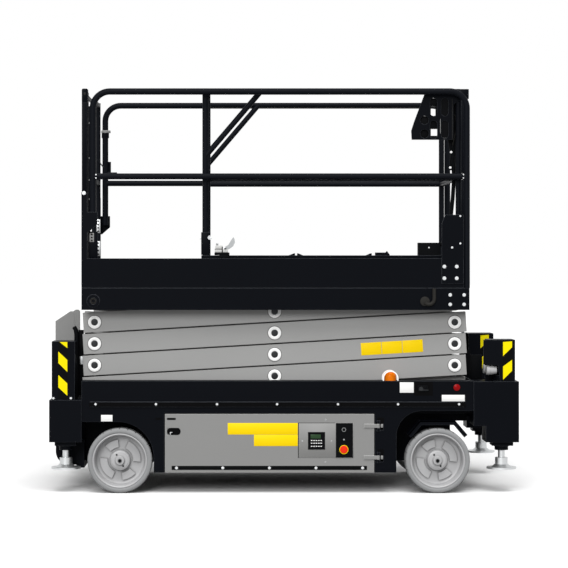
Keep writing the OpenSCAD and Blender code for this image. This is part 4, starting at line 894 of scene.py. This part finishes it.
class LIFT_OT_stage(bpy.types.Operator):
    """Pale floor, soft studio light and the camera"""
    bl_idname = "lift.stage"
    bl_label = "Stage"

    def execute(self, context):
        scene = context.scene
        scene.view_settings.view_transform = "Standard"
        bm = bmesh.new()
        bmesh.ops.create_grid(bm, x_segments=1, y_segments=1, size=90.0)
        mesh = bpy.data.meshes.new("floor")
        bm.to_mesh(mesh)
        bm.free()
        floor = bpy.data.objects.new("floor", mesh)
        scene.collection.objects.link(floor)
        pale = bpy.data.materials.new("pale_floor")
        tree = empty_tree(pale)
        path = add_node(tree, "ShaderNodeLightPath")
        # The floor shows white to the camera and throws less light back up than it would.
        shade = add_node(tree, "ShaderNodeMix", {
            "Factor": path.outputs["Is Diffuse Ray"], "A": rgba([FLOOR_SEEN] * 3),
            "B": rgba([FLOOR_BOUNCE] * 3)}, data_type="RGBA")
        dull = add_node(tree, "ShaderNodeBsdfDiffuse", {"Color": shade.outputs["Result"]})
        add_node(tree, "ShaderNodeOutputMaterial", {"Surface": dull.outputs[0]})
        mesh.materials.append(pale)
        self.light(scene)
        self.camera(scene)
        return {"FINISHED"}

    def light(self, scene):
        """A white world that shows in metal and glass and lights the lift softly, and two wide suns."""
        scene.world = bpy.data.worlds.new("studio")
        tree = empty_tree(scene.world)
        rays = add_node(tree, "ShaderNodeLightPath").outputs
        clear = add_node(tree, "ShaderNodeMath", {0: rays["Is Glossy Ray"], 1: rays["Is Transmission Ray"]},
                         operation="MAXIMUM")
        seen = add_node(tree, "ShaderNodeMath", {0: rays["Is Camera Ray"], 1: clear.outputs[0]},
                        operation="MAXIMUM")
        soft = add_node(tree, "ShaderNodeBackground", {"Color": (1, 1, 1, 1), "Strength": SOFT_LIGHT})
        white = add_node(tree, "ShaderNodeBackground", {"Color": (1, 1, 1, 1), "Strength": 1.0})
        mix = add_node(tree, "ShaderNodeMixShader",
                       {0: seen.outputs[0], 1: soft.outputs[0], 2: white.outputs[0]})
        add_node(tree, "ShaderNodeOutputWorld", {"Surface": mix.outputs[0]})
        for name, (place, spread, power) in SUNS.items():
            lamp = bpy.data.lights.new(name, "SUN")
            lamp.angle = math.radians(spread)
            lamp.energy = power
            made = bpy.data.objects.new(name, lamp)
            made.location = Vector(place) * 6
            made.rotation_euler = (-Vector(place)).to_track_quat("-Z", "Y").to_euler()
            scene.collection.objects.link(made)

    def camera(self, scene):
        """The camera, level and square to the lift's near side."""
        lens = bpy.data.cameras.new("camera")
        lens.sensor_width = 36.0
        lens.lens = LENS_MM
        lens.shift_x, lens.shift_y = LENS_SHIFT
        lens.clip_end = 500.0
        made = bpy.data.objects.new("camera", lens)
        made.location = CAMERA_AT
        made.rotation_euler = (math.pi / 2, 0, 0)
        scene.collection.objects.link(made)
        scene.camera = made


class LIFT_PT_panel(bpy.types.Panel):
    """The lift's finish in the sidebar"""
    bl_idname = "LIFT_PT_panel"
    bl_label = "Scissor lift"
    bl_space_type = "VIEW_3D"
    bl_region_type = "UI"
    bl_category = "Lift"

    def draw(self, context):
        own = context.scene.lift_finish
        for key in ("black", "grey", "wheel", "yellow", "amber", "bolt", "groove", "ring"):
            self.layout.prop(own, key)
        for made in STEPS:
            self.layout.operator(made.bl_idname)


STEPS = (LIFT_OT_paint, LIFT_OT_wheels, LIFT_OT_pin_rings, LIFT_OT_side_doors, LIFT_OT_chassis_trim,
         LIFT_OT_chevrons, LIFT_OT_arm_plates, LIFT_OT_platform_trim, LIFT_OT_controls, LIFT_OT_jack_details,
         LIFT_OT_stage)


def register():
    for made in (LiftFinish,) + STEPS + (LIFT_PT_panel,):
        bpy.utils.register_class(made)
    bpy.types.Scene.lift_finish = bpy.props.PointerProperty(type=LiftFinish)


def unregister():
    del bpy.types.Scene.lift_finish
    for made in reversed((LiftFinish,) + STEPS + (LIFT_PT_panel,)):
        bpy.utils.unregister_class(made)


def main():
    register()
    for made in STEPS:
        group, name = made.bl_idname.split(".")
        getattr(getattr(bpy.ops, group), name)()


if __name__ == "__main__":
    main()
